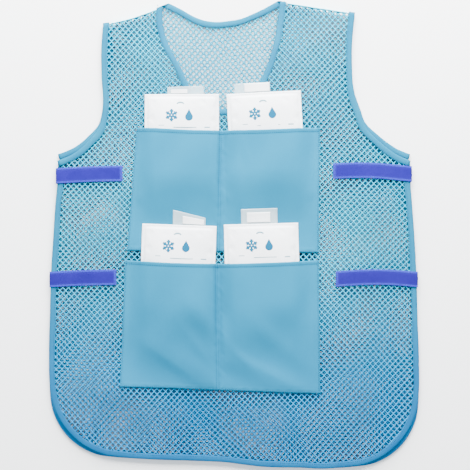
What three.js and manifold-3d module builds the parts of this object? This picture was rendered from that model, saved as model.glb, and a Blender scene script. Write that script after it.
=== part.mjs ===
// A cooling vest of coarse net, laid flat and face up, with an ice pack in each of its four pockets.
// Sizes are in millimetres. +Z is up, +Y points to the neck and +X to the right as the vest lies.

import * as THREE from 'three';
import { mergeVertices } from 'three/addons/utils/BufferGeometryUtils.js';
import Module from 'manifold-3d';

// Outline of the vest
const VEST_LENGTH = 702;
const CHEST_WIDTH = 530;
const HEM_WIDTH = 555;
const UNDERARM_DROP = 240;
const BACK_UNDERARM_RISE = 10;
const SHOULDER_SPAN = 378;
const SHOULDER_SHIFT = -7.5;
const LEFT_SHOULDER_DROP = 34;
const RIGHT_SHOULDER_DROP = 18;
const LEFT_SHOULDER_DIP = 9;
const NECK_WIDTH = 176;
const NECK_SHIFT = -16.5;
const FRONT_NECK_DEPTH = 163;
const BACK_NECK_WIDTH = 163;
const BACK_NECK_DEPTH = 31;
const LEFT_NECK_DROP = 3;
const HEM_RISE = 16.5;
const FRONT_HEM_CORNER = 114;
const BACK_HEM_CORNER = 99;

// Cloth, tape and the clearance between pieces
const NET_THICKNESS = 1;
const TAPE_THICKNESS = 1;
const TAPE_WIDTH = 9;
const POCKET_CLOTH = 1;
const CLEARANCE = 0.4;
const LAYER_GAP = 0.3;

// Rise of the front over the back, and its folds
const FRONT_LOFT = 5;
const LOFT_START = 12;
const LOFT_RISE = 90;
const FOLD_HEIGHT = 6;
const PANEL_CELL = 36;

// Gaps that open the net
const NET_GAP_SIZE = 26;
const NET_GAP_PITCH_ACROSS = 72;
const NET_GAP_PITCH_ALONG = 76;
const NET_GAP_MARGIN = 4;

// Pockets and ice packs
const UPPER_POCKET_DROP = 191;
const UPPER_POCKET_WIDTH = 280;
const UPPER_POCKET_HEIGHT = 185;
const LOWER_POCKET_WIDTH = 294;
const LOWER_POCKET_HEIGHT = 194;
const POCKET_SPACING = 13;
const POCKET_DIP = 5;
const POCKET_EASE = 0.8;
const POCKET_SLACK = 7;
const PACK_WIDTH = 111;
const PACK_HEIGHT = 150;
const PACK_THICKNESS = 8;
const PACK_RIM = 1;
const PACK_SHOWING = 58;
const SLEEVE_THICKNESS = 1;

// Side straps
const STRAP_WIDTH = 23;
const STRAP_THICKNESS = 1.2;
const STRAP_BACK_LENGTH = 50;
const STRAP_FRONT_LENGTH = 100;
const STRAP_SPACING = 158;
const UPPER_STRAP_DROP = 260;

// Spacing of the sections along the tapes
const EDGE_STEP = 27;
const CURVE_STEP = 15;

// Armhole: down is the share of the way from the shoulder tip to the underarm,
// left and right are the shares of the way out from the shoulder tip to the side.
const ARMHOLE = [
  { down: 0, left: 0, right: 0 },
  { down: 0.2, left: 0.04, right: -0.05 },
  { down: 0.4, left: 0.03, right: -0.05 },
  { down: 0.55, left: 0, right: -0.01 },
  { down: 0.68, left: 0.03, right: 0.1 },
  { down: 0.78, left: 0.12, right: 0.2 },
  { down: 0.86, left: 0.33, right: 0.41 },
  { down: 0.92, left: 0.52, right: 0.6 },
  { down: 0.965, left: 0.74, right: 0.78 },
  { down: 1, left: 1, right: 1 },
];

// Side: down is the share of the way from the underarm to the hem corner,
// left and right are the shares of the flare from the chest to the hem.
const SIDE = [
  { down: 0, left: 0, right: 0 },
  { down: 0.1, left: 0, right: 0 },
  { down: 0.2, left: 0.25, right: 0.2 },
  { down: 0.35, left: 0.5, right: 0.5 },
  { down: 0.5, left: 0.75, right: 0.7 },
  { down: 0.7, left: 0.9, right: 0.85 },
  { down: 0.85, left: 1, right: 1 },
  { down: 1, left: 0.95, right: 1 },
];

// Hem: across runs from the left corner to the right one, rise is a share of HEM_RISE.
const HEM = [
  { across: 0, rise: 1 },
  { across: 0.15, rise: 0.82 },
  { across: 0.3, rise: 0.73 },
  { across: 0.45, rise: 0.6 },
  { across: 0.55, rise: 0.36 },
  { across: 0.65, rise: 0.15 },
  { across: 0.8, rise: 0.09 },
  { across: 0.9, rise: 0 },
  { across: 1, rise: 0.12 },
];

// Front neck: down is a share of FRONT_NECK_DEPTH, left and right are shares of half the width.
const FRONT_NECK = [
  { down: 0, left: 1.03, right: 0.97 },
  { down: 0.2, left: 1.03, right: 0.93 },
  { down: 0.33, left: 0.98, right: 0.89 },
  { down: 0.435, left: 0.9, right: 0.845 },
  { down: 0.555, left: 0.78, right: 0.78 },
  { down: 0.66, left: 0.68, right: 0.7 },
  { down: 0.78, left: 0.58, right: 0.59 },
  { down: 0.9, left: 0.42, right: 0.42 },
  { down: 0.977, left: 0.22, right: 0.21 },
];

// Back neck: across is a share of half the width, down is a share of BACK_NECK_DEPTH.
const BACK_NECK = [
  { across: -0.78, down: 0.38 },
  { across: -0.56, down: 0.71 },
  { across: -0.34, down: 0.93 },
  { across: -0.12, down: 1 },
  { across: 0.1, down: 0.95 },
  { across: 0.32, down: 0.85 },
  { across: 0.54, down: 0.62 },
  { across: 0.76, down: 0.35 },
];

// Folds of the front: across is a share of the chest width from the middle, down a share of the
// length, turn the degrees from +X, reach and spread shares of the chest width along and across
// the fold, and height a share of FOLD_HEIGHT.
const FOLDS = [
  { across: -0.29, down: 0.13, turn: 35, reach: 0.1, spread: 0.05, height: 0.4 },
  { across: 0.27, down: 0.16, turn: 100, reach: 0.14, spread: 0.045, height: 0.45 },
  { across: -0.43, down: 0.455, turn: 55, reach: 0.1, spread: 0.05, height: 1 },
  { across: 0.42, down: 0.455, turn: 120, reach: 0.1, spread: 0.05, height: 1 },
  { across: 0.36, down: 0.74, turn: 92, reach: 0.24, spread: 0.045, height: 0.7 },
  { across: -0.4, down: 0.8, turn: 128, reach: 0.14, spread: 0.05, height: 0.8 },
  { across: -0.27, down: 0.88, turn: 120, reach: 0.12, spread: 0.045, height: 0.6 },
  { across: 0.13, down: 0.9, turn: 145, reach: 0.14, spread: 0.05, height: 0.5 },
];

// Pockets: every place across is a share of the pocket's own width from the middle of the vest.
const POCKETS = [
  {
    name: 'upper_pocket',
    drop: UPPER_POCKET_DROP,
    width: UPPER_POCKET_WIDTH,
    height: UPPER_POCKET_HEIGHT,
    topLeft: -0.52,
    seamTop: -0.065,
    topRight: 0.458,
    bottomLeft: -0.569,
    seamBottom: -0.077,
    bottomRight: 0.451,
  },
  {
    name: 'lower_pocket',
    drop: UPPER_POCKET_DROP + UPPER_POCKET_HEIGHT + POCKET_SPACING,
    width: LOWER_POCKET_WIDTH,
    height: LOWER_POCKET_HEIGHT,
    topLeft: -0.553,
    seamTop: -0.084,
    topRight: 0.43,
    bottomLeft: -0.578,
    seamBottom: -0.076,
    bottomRight: 0.437,
  },
];

// Slack folds of the pocket cloth, on the same columns as FOLDS but with heights
// as shares of POCKET_SLACK.
const POCKET_FOLDS = [
  { across: -0.03, down: 0.36, turn: 120, reach: 0.08, spread: 0.03, height: 0.35 },
  { across: -0.07, down: 0.69, turn: 132, reach: 0.09, spread: 0.032, height: 0.9 },
  { across: -0.14, down: 0.775, turn: 150, reach: 0.13, spread: 0.035, height: 1 },
  { across: 0.06, down: 0.79, turn: 158, reach: 0.14, spread: 0.032, height: 0.9 },
  { across: 0.12, down: 0.73, turn: 140, reach: 0.1, spread: 0.03, height: 0.6 },
];

// Ice packs: pocket and half say where the pack sits, shift is a share of its width, showing a share
// of PACK_SHOWING and turn is in degrees. The sleeve's place, width, height and turn follow, the lengths as shares of PACK_WIDTH.
const PACKS = [
  {
    name: 'upper_left', pocket: 0, half: -1, shift: 0.036, showing: 0.92, turn: 0,
    sleeveShift: 0.05, sleeveWidth: 0.49, sleeveHeight: 0.1, sleeveTurn: 2,
  },
  {
    name: 'upper_right', pocket: 0, half: 1, shift: -0.062, showing: 0.97, turn: 3,
    sleeveShift: -0.15, sleeveWidth: 0.48, sleeveHeight: 0.13, sleeveTurn: 3,
  },
  {
    name: 'lower_left', pocket: 1, half: -1, shift: 0.086, showing: 0.97, turn: -2,
    sleeveShift: 0.13, sleeveWidth: 0.44, sleeveHeight: 0.15, sleeveTurn: -14,
  },
  {
    name: 'lower_right', pocket: 1, half: 1, shift: -0.078, showing: 1, turn: 1.5,
    sleeveShift: -0.02, sleeveWidth: 0.49, sleeveHeight: 0.2, sleeveTurn: 2,
  },
];

// Straps: side is -1 on the left, row counts down from the underarm, reach is the length on the
// front as a share of STRAP_FRONT_LENGTH, slope the rise of its inner end and bow its arch, both as
// shares of STRAP_WIDTH.
const STRAPS = [
  { name: 'upper_left', side: -1, row: 0, reach: 0.99, slope: 0.1, bow: 0.03 },
  { name: 'upper_right', side: 1, row: 0, reach: 1.17, slope: 0.1, bow: 0.16 },
  { name: 'lower_left', side: -1, row: 1, reach: 0.99, slope: 0.1, bow: 0.03 },
  { name: 'lower_right', side: 1, row: 1, reach: 1.22, slope: 0.03, bow: 0.14 },
];

// Heights of the layers, from the floor up
const TAPE_HALF = NET_THICKNESS / 2 + CLEARANCE + TAPE_THICKNESS;
const SLOT_HALF = NET_THICKNESS / 2 + CLEARANCE;
const BACK_LEVEL = STRAP_THICKNESS + LAYER_GAP + TAPE_HALF;
const FRONT_EDGE_LEVEL = BACK_LEVEL + 2 * TAPE_HALF + LAYER_GAP;
const CLOTH_REST = NET_THICKNESS / 2 + LAYER_GAP + CLEARANCE;
const PACK_REST = CLOTH_REST + POCKET_CLOTH + CLEARANCE;
const TAPE_REST = TAPE_HALF + LAYER_GAP;
const PANEL_INSET = TAPE_THICKNESS + CLEARANCE;

const wasm = await Module();
wasm.setup();

// A closed geometry as a solid that can be joined and cut
function solidOf(geometry) {
  const bare = geometry.clone();
  bare.deleteAttribute('normal');
  bare.deleteAttribute('uv');
  const merged = mergeVertices(bare, 1e-4);
  const mesh = new wasm.Mesh({
    numProp: 3,
    vertProperties: Float32Array.from(merged.attributes.position.array),
    triVerts: Uint32Array.from(merged.index.array),
  });
  return new wasm.Manifold(mesh);
}

// A joined or cut solid as a geometry again
function geometryOf(solid) {
  const mesh = solid.getMesh();
  const geometry = new THREE.BufferGeometry();
  geometry.setAttribute('position', new THREE.Float32BufferAttribute(mesh.vertProperties, 3));
  geometry.setIndex(Array.from(mesh.triVerts));
  geometry.computeVertexNormals();
  return geometry;
}

// A point of the vest from its place across and its drop below the highest shoulder point
function at(across, drop) {
  return new THREE.Vector2(across, VEST_LENGTH / 2 - drop);
}

function smoothStep(share) {
  const t = THREE.MathUtils.clamp(share, 0, 1);
  return t * t * (3 - 2 * t);
}

// Evenly spaced points on a smooth curve through the given ones
function spaced(points, step) {
  const curve = new THREE.SplineCurve(points);
  return curve.getSpacedPoints(Math.max(4, Math.round(curve.getLength() / step)));
}

// Corner points of the shoulders, the neck and the underarms
function shoulderTip(side) {
  const drop = side < 0 ? LEFT_SHOULDER_DROP : RIGHT_SHOULDER_DROP;
  return at(SHOULDER_SHIFT + (side * SHOULDER_SPAN) / 2, drop);
}

function backNeckPoint(side) {
  return at(NECK_SHIFT + (side * BACK_NECK_WIDTH) / 2, side < 0 ? LEFT_NECK_DROP : 0);
}

function underarm(side, layer) {
  const drop = layer === 'back' ? UNDERARM_DROP - BACK_UNDERARM_RISE : UNDERARM_DROP;
  return at((side * CHEST_WIDTH) / 2, drop);
}

// The shoulder line from the tip to the neck, where the front folds over onto the back
function shoulderCurve(side) {
  const tip = shoulderTip(side);
  const neck = backNeckPoint(side);
  const control = tip.clone().add(neck).multiplyScalar(0.5);
  control.y -= side < 0 ? LEFT_SHOULDER_DIP : 0;
  return new THREE.QuadraticBezierCurve(tip, control, neck);
}

// The point of a shoulder line at a place across
function onShoulder(side, across) {
  const points = shoulderCurve(side).getPoints(40);
  const index = points.findIndex((point) => side * (point.x - across) <= 0);
  const far = points[Math.max(1, index)];
  const near = points[Math.max(1, index) - 1];
  const share = (across - near.x) / (far.x - near.x);
  return near.clone().lerp(far, share);
}

// The armhole from the shoulder tip down to the underarm
function armholeRun(side, layer) {
  const tip = shoulderTip(side);
  const end = underarm(side, layer);
  const column = side < 0 ? 'left' : 'right';
  const points = ARMHOLE.map((row) => new THREE.Vector2(
    THREE.MathUtils.lerp(tip.x, end.x, row[column]),
    THREE.MathUtils.lerp(tip.y, end.y, row.down),
  ));
  return spaced(points, CURVE_STEP);
}

// Down the left side, round the hem and up the right side
function edgeRun(layer) {
  const corner = layer === 'back' ? BACK_HEM_CORNER : FRONT_HEM_CORNER;
  const sidePoints = (side) => {
    const top = underarm(side, layer);
    const hemRise = side < 0 ? HEM[0].rise : HEM[HEM.length - 1].rise;
    const foot = at(0, VEST_LENGTH - hemRise * HEM_RISE - corner);
    const flare = (HEM_WIDTH - CHEST_WIDTH) / 2;
    const column = side < 0 ? 'left' : 'right';
    return SIDE.map((row) => new THREE.Vector2(
      top.x + side * flare * row[column],
      THREE.MathUtils.lerp(top.y, foot.y, row.down),
    ));
  };
  const left = sidePoints(-1);
  const right = sidePoints(1);
  const leftFoot = left[left.length - 1];
  const rightFoot = right[right.length - 1];
  const cornerPoint = (foot, side, angle) => new THREE.Vector2(
    foot.x - side * corner * (1 - Math.cos(angle)),
    foot.y - corner * Math.sin(angle),
  );
  const angles = [1, 2, 3, 4].map((step) => (step * Math.PI) / 10);
  const hem = HEM.map((row) => at(
    THREE.MathUtils.lerp(leftFoot.x + corner, rightFoot.x - corner, row.across),
    VEST_LENGTH - row.rise * HEM_RISE,
  ));
  return spaced([
    ...left,
    ...angles.map((angle) => cornerPoint(leftFoot, -1, angle)),
    ...hem,
    ...angles.map((angle) => cornerPoint(rightFoot, 1, angle)).reverse(),
    ...right.reverse(),
  ], EDGE_STEP);
}

// The neck from the right shoulder round to the left one
function frontNeckRun() {
  const half = NECK_WIDTH / 2;
  const rightTop = onShoulder(1, NECK_SHIFT + half * FRONT_NECK[0].right);
  const leftTop = onShoulder(-1, NECK_SHIFT - half * FRONT_NECK[0].left);
  const rows = FRONT_NECK.slice(1);
  const right = rows.map((row) => at(NECK_SHIFT + half * row.right, row.down * FRONT_NECK_DEPTH));
  const left = rows.map((row) => at(NECK_SHIFT - half * row.left, row.down * FRONT_NECK_DEPTH));
  return spaced(
    [rightTop, ...right, at(NECK_SHIFT, FRONT_NECK_DEPTH), ...left.reverse(), leftTop],
    CURVE_STEP,
  );
}

function backNeckRun() {
  const half = BACK_NECK_WIDTH / 2;
  const rows = BACK_NECK.map((row) => at(NECK_SHIFT + half * row.across, row.down * BACK_NECK_DEPTH));
  return spaced([backNeckPoint(1), ...rows.reverse(), backNeckPoint(-1)], CURVE_STEP);
}

// All the edge runs of one layer. The layer lies to the left of each run's direction.
function layerRuns(layer) {
  return {
    leftArmhole: armholeRun(-1, layer),
    edge: edgeRun(layer),
    rightArmhole: armholeRun(1, layer).reverse(),
    neck: layer === 'back' ? backNeckRun() : frontNeckRun(),
  };
}

const RUNS = { front: layerRuns('front'), back: layerRuns('back') };

// The closed outline of a layer, each point with the inset of the edge that leaves it
function layerOutline(layer, shoulderInset) {
  const runs = RUNS[layer];
  const outline = [];
  const add = (points, inset) => points.slice(0, -1).forEach((point) => outline.push({ point, inset }));
  const shoulder = (side, from, to) => {
    const share = (point) => (point.x - shoulderTip(side).x)
      / (backNeckPoint(side).x - shoulderTip(side).x);
    const curve = shoulderCurve(side);
    const start = THREE.MathUtils.clamp(share(from), 0, 1);
    const end = THREE.MathUtils.clamp(share(to), 0, 1);
    const inner = [0.25, 0.5, 0.75].map((part) => curve.getPoint(THREE.MathUtils.lerp(start, end, part)));
    add([from, ...inner, to], shoulderInset);
  };
  add(runs.leftArmhole, PANEL_INSET);
  add(runs.edge, PANEL_INSET);
  add(runs.rightArmhole, PANEL_INSET);
  shoulder(1, runs.rightArmhole[runs.rightArmhole.length - 1], runs.neck[0]);
  add(runs.neck, PANEL_INSET);
  shoulder(-1, runs.neck[runs.neck.length - 1], runs.leftArmhole[0]);
  return outline;
}

// An outline moved inwards, each edge by its own inset
function insetOutline(outline) {
  const count = outline.length;
  const edges = outline.map(({ point, inset }, index) => {
    const next = outline[(index + 1) % count].point;
    const along = next.clone().sub(point).normalize();
    const inward = new THREE.Vector2(-along.y, along.x);
    return { along, inward, inset, from: point.clone().addScaledVector(inward, inset) };
  });
  return edges.map((edge, index) => {
    const before = edges[(index + count - 1) % count];
    const cross = before.along.cross(edge.along);
    if (Math.abs(cross) < 0.02) {
      return edge.from.clone();
    }
    const offset = edge.from.clone().sub(before.from);
    return before.from.clone().addScaledVector(before.along, offset.cross(edge.along) / cross);
  });
}

// Distance from a place to the nearest of some runs of points
function distanceTo(place, runs) {
  const segment = new THREE.Line3();
  const nearest = new THREE.Vector3();
  const point = new THREE.Vector3(place.x, place.y, 0);
  let least = Infinity;
  runs.forEach((run) => run.slice(1).forEach((end, index) => {
    segment.start.set(run[index].x, run[index].y, 0);
    segment.end.set(end.x, end.y, 0);
    segment.closestPointToPoint(point, true, nearest);
    least = Math.min(least, nearest.distanceTo(point));
  }));
  return least;
}

const FASTENED_RUNS = [
  RUNS.front.leftArmhole,
  RUNS.front.edge,
  RUNS.front.rightArmhole,
  shoulderCurve(-1).getPoints(4),
  shoulderCurve(1).getPoints(4),
];
const OUTER_LOOP = insetOutline(layerOutline('front', PANEL_INSET));

function inside(place, loop) {
  let crossings = 0;
  loop.forEach((start, index) => {
    const end = loop[(index + 1) % loop.length];
    const spans = start.y > place.y !== end.y > place.y;
    const across = start.x + ((place.y - start.y) / (end.y - start.y)) * (end.x - start.x);
    crossings += spans && place.x < across ? 1 : 0;
  });
  return crossings % 2 === 1;
}

// Height of one fold at a place
function foldHeight(row, place, unit) {
  const centre = at(row.across * CHEST_WIDTH, row.down * VEST_LENGTH);
  const turn = THREE.MathUtils.degToRad(row.turn);
  const local = place.clone().sub(centre).rotateAround(new THREE.Vector2(), -turn);
  const along = local.x / (row.reach * CHEST_WIDTH);
  const across = local.y / (row.spread * CHEST_WIDTH);
  return unit * row.height * Math.exp(-(along * along) - across * across);
}

// Middle height of the front net at a node of its grid: low where it is sewn or folded, lofted inside
function frontNodeLevel(column, row) {
  const place = new THREE.Vector2(column * PANEL_CELL, row * PANEL_CELL);
  const overNeck = distanceTo(place, [RUNS.front.neck]) < distanceTo(place, FASTENED_RUNS);
  const sewn = inside(place, OUTER_LOOP) || overNeck ? distanceTo(place, FASTENED_RUNS) : 0;
  const share = smoothStep((sewn - LOFT_START) / LOFT_RISE);
  const folds = FOLDS.reduce((sum, fold) => sum + foldHeight(fold, place, FOLD_HEIGHT), 0);
  return FRONT_EDGE_LEVEL + share * (FRONT_LOFT + folds);
}

const nodeLevels = new Map();

function cachedNodeLevel(column, row) {
  const key = `${column},${row}`;
  if (!nodeLevels.has(key)) {
    nodeLevels.set(key, frontNodeLevel(column, row));
  }
  return nodeLevels.get(key);
}

// Middle height of the front net anywhere: flat facets between the nodes of the grid
function frontLevel(place) {
  const column = Math.floor(place.x / PANEL_CELL);
  const row = Math.floor(place.y / PANEL_CELL);
  const u = place.x / PANEL_CELL - column;
  const v = place.y / PANEL_CELL - row;
  const near = cachedNodeLevel(column, row);
  const far = cachedNodeLevel(column + 1, row + 1);
  const right = cachedNodeLevel(column + 1, row);
  const up = cachedNodeLevel(column, row + 1);
  return u >= v ? near + u * (right - near) + v * (far - right) : near + v * (up - near) + u * (far - up);
}

function backLevel() {
  return BACK_LEVEL;
}

// A closed solid between an under and an upper surface over a grid of places
function sheetSolid(places, under, upper) {
  const columns = places.length;
  const rows = places[0].length;
  const positions = [];
  const indices = [];
  [under, upper].forEach((height) => places.forEach((line) => line.forEach((place) => {
    positions.push(place.x, place.y, height(place));
  })));
  const low = (column, row) => column * rows + row;
  const high = (column, row) => columns * rows + low(column, row);
  const quad = (a, b, c, d) => indices.push(a, b, c, a, c, d);
  for (let column = 0; column + 1 < columns; column += 1) {
    for (let row = 0; row + 1 < rows; row += 1) {
      quad(high(column, row), high(column + 1, row), high(column + 1, row + 1), high(column, row + 1));
      indices.push(low(column, row), low(column + 1, row + 1), low(column + 1, row));
      indices.push(low(column, row), low(column, row + 1), low(column + 1, row + 1));
    }
    quad(low(column, 0), low(column + 1, 0), high(column + 1, 0), high(column, 0));
    const last = rows - 1;
    quad(low(column + 1, last), low(column, last), high(column, last), high(column + 1, last));
  }
  for (let row = 0; row + 1 < rows; row += 1) {
    quad(low(0, row + 1), low(0, row), high(0, row), high(0, row + 1));
    const last = columns - 1;
    quad(low(last, row), low(last, row + 1), high(last, row + 1), high(last, row));
  }
  const geometry = new THREE.BufferGeometry();
  geometry.setAttribute('position', new THREE.Float32BufferAttribute(positions, 3));
  geometry.setIndex(indices);
  geometry.computeVertexNormals();
  return geometry;
}

// An upright block over a closed outline
function uprightBlock(outline, bottom, top) {
  const geometry = new THREE.ExtrudeGeometry(new THREE.Shape(outline), {
    depth: top - bottom,
    bevelEnabled: false,
    curveSegments: 1,
  });
  return geometry.translate(0, 0, bottom);
}

// A closed solid through rings that all have the same section, with its ends capped
function ringSolid(rings, section) {
  const positions = rings.flatMap((ring) => ring.flatMap((point) => point.toArray()));
  const size = section.length;
  const indices = [];
  for (let ring = 0; ring + 1 < rings.length; ring += 1) {
    for (let corner = 0; corner < size; corner += 1) {
      const here = ring * size + corner;
      const beside = ring * size + ((corner + 1) % size);
      indices.push(here, beside, here + size);
      indices.push(beside, beside + size, here + size);
    }
  }
  const clockwise = THREE.ShapeUtils.isClockWise(section);
  const cap = THREE.ShapeUtils.triangulateShape(section, []).map((face) => {
    const turned = THREE.ShapeUtils.isClockWise(face.map((index) => section[index]));
    return turned === clockwise ? face : [...face].reverse();
  });
  const lastRing = (rings.length - 1) * size;
  cap.forEach(([a, b, c]) => {
    indices.push(c, b, a);
    indices.push(a + lastRing, b + lastRing, c + lastRing);
  });
  const geometry = new THREE.BufferGeometry();
  geometry.setAttribute('position', new THREE.Float32BufferAttribute(positions, 3));
  geometry.setIndex(indices);
  geometry.computeVertexNormals();
  return geometry;
}

// Direction into the layer at each point of a run, long enough to keep the tape's width at a bend.
// The ends may be cut along a given direction, such as a shoulder line.
function inwardSteps(run, startCut, endCut) {
  return run.map((point, index) => {
    const leaving = run[Math.min(run.length - 1, index + 1)].clone().sub(point).normalize();
    const arriving = point.clone().sub(run[Math.max(0, index - 1)]).normalize();
    const along = leaving.clone().add(arriving).normalize();
    const inward = new THREE.Vector2(-along.y, along.x);
    const cut = index === 0 ? startCut : index === run.length - 1 ? endCut : null;
    if (cut) {
      return cut.clone().divideScalar(cut.dot(inward));
    }
    if (index > 0 && index + 1 < run.length) {
      inward.divideScalar(Math.max(0.5, leaving.dot(along)));
    }
    return inward;
  });
}

// The tape's section, folded round an edge: x runs into the layer, y up
const TAPE_SECTION = [
  new THREE.Vector2(0, -TAPE_HALF),
  new THREE.Vector2(TAPE_WIDTH, -TAPE_HALF),
  new THREE.Vector2(TAPE_WIDTH, -SLOT_HALF),
  new THREE.Vector2(TAPE_THICKNESS, -SLOT_HALF),
  new THREE.Vector2(TAPE_THICKNESS, SLOT_HALF),
  new THREE.Vector2(TAPE_WIDTH, SLOT_HALF),
  new THREE.Vector2(TAPE_WIDTH, TAPE_HALF),
  new THREE.Vector2(0, TAPE_HALF),
];

function foldedTape(run, level, startCut, endCut) {
  const steps = inwardSteps(run, startCut, endCut);
  const rings = run.map((point, index) => {
    const inner = point.clone().addScaledVector(steps[index], TAPE_WIDTH);
    const height = level(point);
    const slope = (level(inner) - height) / TAPE_WIDTH;
    return TAPE_SECTION.map((corner) => {
      const place = point.clone().addScaledVector(steps[index], corner.x);
      return new THREE.Vector3(place.x, place.y, height + slope * corner.x + corner.y);
    });
  });
  return solidOf(ringSolid(rings, TAPE_SECTION));
}

// Where a tape turns over the shoulder fold, from the back up to the front
function shoulderTurn(from, to) {
  const along = to.clone().sub(from).normalize();
  const inward = new THREE.Vector2(along.y, -along.x);
  inward.multiplyScalar(inward.y > 0 ? -TAPE_THICKNESS : TAPE_THICKNESS);
  const corners = [from, to, to.clone().add(inward), from.clone().add(inward)];
  return solidOf(uprightBlock(corners, BACK_LEVEL - TAPE_HALF, FRONT_EDGE_LEVEL + TAPE_HALF));
}

// Direction along a shoulder line over the width of a tape, from a point on the line
function shoulderDirection(side, from, sign) {
  return onShoulder(side, from.x + sign * TAPE_WIDTH).sub(from).normalize();
}

// Centres of the gaps in the net, on a lattice whose every other row is shifted by half a pitch
function netGapCentres() {
  const centres = [];
  const rows = Math.ceil(VEST_LENGTH / NET_GAP_PITCH_ALONG);
  const columns = Math.ceil(HEM_WIDTH / NET_GAP_PITCH_ACROSS / 2) + 1;
  for (let row = -rows; row <= rows; row += 1) {
    for (let column = -columns; column <= columns; column += 1) {
      const shift = row % 2 === 0 ? 0 : 0.5;
      centres.push(new THREE.Vector2(
        (column + shift) * NET_GAP_PITCH_ACROSS,
        (row / 2) * NET_GAP_PITCH_ALONG,
      ));
    }
  }
  return centres;
}

function cutNetGaps(panel, level, keep) {
  const gap = new THREE.CylinderGeometry(NET_GAP_SIZE / 2, NET_GAP_SIZE / 2, 4 * TAPE_HALF, 4);
  gap.rotateX(Math.PI / 2);
  return netGapCentres().filter(keep).reduce((solid, centre) => {
    const cutter = gap.clone().translate(centre.x, centre.y, level(centre));
    return solid.subtract(solidOf(cutter));
  }, panel);
}

// Strip of the back net that turns over the shoulder between the tapes
function shoulderFold(side) {
  const curve = shoulderCurve(side);
  const inner = RUNS.front.neck[side > 0 ? 0 : RUNS.front.neck.length - 1];
  const length = curve.getLength();
  const tapeShare = (TAPE_WIDTH + 2 * CLEARANCE) / length;
  const neckShare = 1 - backNeckPoint(side).distanceTo(inner) / length;
  const shares = [0, 0.25, 0.5, 0.75, 1].map((part) => THREE.MathUtils.lerp(
    1.2 * tapeShare,
    neckShare - 1.2 * tapeShare,
    part,
  ));
  const line = shares.map((share) => curve.getPointAt(share));
  const outer = line.map((point) => point.clone().add(new THREE.Vector2(0, -PANEL_INSET)));
  const innerLine = outer.map((point) => point.clone().add(new THREE.Vector2(0, -NET_THICKNESS)));
  const bottom = BACK_LEVEL - NET_THICKNESS / 2;
  const top = FRONT_EDGE_LEVEL + NET_THICKNESS / 2;
  return solidOf(uprightBlock([...outer, ...innerLine.reverse()], bottom, top));
}

// A pocket's plan: u runs from its left edge to its right one, v from its bottom up
function pocketPlace(pocket, u, v) {
  const seamShare = 0.5;
  const rowPlaces = (left, seam, right) => (u < seamShare
    ? THREE.MathUtils.lerp(left, seam, u / seamShare)
    : THREE.MathUtils.lerp(seam, right, (u - seamShare) / (1 - seamShare)));
  const top = rowPlaces(pocket.topLeft, pocket.seamTop, pocket.topRight) * pocket.width;
  const bottom = rowPlaces(pocket.bottomLeft, pocket.seamBottom, pocket.bottomRight) * pocket.width;
  const dip = POCKET_DIP * Math.sin(Math.PI * u) * v;
  return at(
    THREE.MathUtils.lerp(bottom, top, v),
    pocket.drop + pocket.height * (1 - v) + dip,
  );
}

// Frame of an ice pack: its centre and turn, from the half pocket that holds it
function packFrame(pack) {
  const pocket = POCKETS[pack.pocket];
  const mouth = pocketPlace(pocket, pack.half < 0 ? 0.25 : 0.75, 1);
  const centre = new THREE.Vector2(
    mouth.x + pack.shift * PACK_WIDTH,
    mouth.y + pack.showing * PACK_SHOWING - PACK_HEIGHT / 2,
  );
  return { centre, turn: THREE.MathUtils.degToRad(pack.turn) };
}

function packLocal(pack, place) {
  const { centre, turn } = packFrame(pack);
  return place.clone().sub(centre).rotateAround(new THREE.Vector2(), -turn);
}

function packPlace(pack, across, along) {
  const { centre, turn } = packFrame(pack);
  return new THREE.Vector2(across, along).rotateAround(new THREE.Vector2(), turn).add(centre);
}

// Thickness of a pack at a place, from its welded rim to its full middle
function packThickness(pack, place, margin) {
  const local = packLocal(pack, place);
  const across = Math.min(1, Math.abs(local.x) / (PACK_WIDTH / 2 + margin));
  const along = Math.min(1, Math.abs(local.y) / (PACK_HEIGHT / 2 + margin));
  return PACK_RIM + (PACK_THICKNESS - PACK_RIM) * (1 - across ** 4) * (1 - along ** 4);
}

// How far the pocket cloth stands over the net to clear its packs
function pocketRise(pocket, place) {
  const over = PACKS.filter((pack) => POCKETS[pack.pocket] === pocket).map((pack) => {
    const local = packLocal(pack, place);
    const outside = Math.max(
      Math.abs(local.x) - PACK_WIDTH / 2,
      Math.abs(local.y) - PACK_HEIGHT / 2,
      0,
    );
    const rise = PACK_REST - CLOTH_REST + packThickness(pack, place, POCKET_SPACING / 3) + POCKET_EASE;
    const fall = 1 - smoothStep((outside - POCKET_SPACING / 4) / POCKET_SPACING);
    return rise * fall;
  });
  return Math.max(...over, 0);
}

// Slack folds of the pocket cloth
function pocketSlack(place) {
  return POCKET_FOLDS.reduce((sum, fold) => sum + foldHeight(fold, place, POCKET_SLACK), 0);
}

const POCKET_COLUMNS = [0, 0.03, 0.07, 0.12, 0.2, 0.3, 0.38, 0.43, 0.465, 0.49];
const POCKET_ROWS = [0, 0.05, 0.13, 0.21, 0.29, 0.37, 0.45, 0.54, 0.7, 0.85, 1];

function pocketPiece(pocket) {
  const mirrored = POCKET_COLUMNS.map((share) => 1 - share).reverse();
  const columns = [...POCKET_COLUMNS, ...mirrored];
  const places = columns.map((u) => POCKET_ROWS.map((v) => pocketPlace(pocket, u, v)));
  const held = new Map();
  columns.forEach((u, column) => POCKET_ROWS.forEach((v, row) => {
    const toSide = Math.min(u, 1 - u, Math.abs(u - 0.5)) * pocket.width;
    const toBottom = v * pocket.height;
    held.set(places[column][row], smoothStep(Math.min(toSide, toBottom) / POCKET_SPACING + 0.2));
  }));
  const under = (place) => (
    frontLevel(place) + CLOTH_REST + pocketRise(pocket, place) + pocketSlack(place) * held.get(place)
  );
  return sheetSolid(places, under, (place) => under(place) + POCKET_CLOTH);
}

const PACK_SHARES = [-1, -0.94, -0.78, -0.35, 0.35, 0.78, 0.94, 1];

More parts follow.
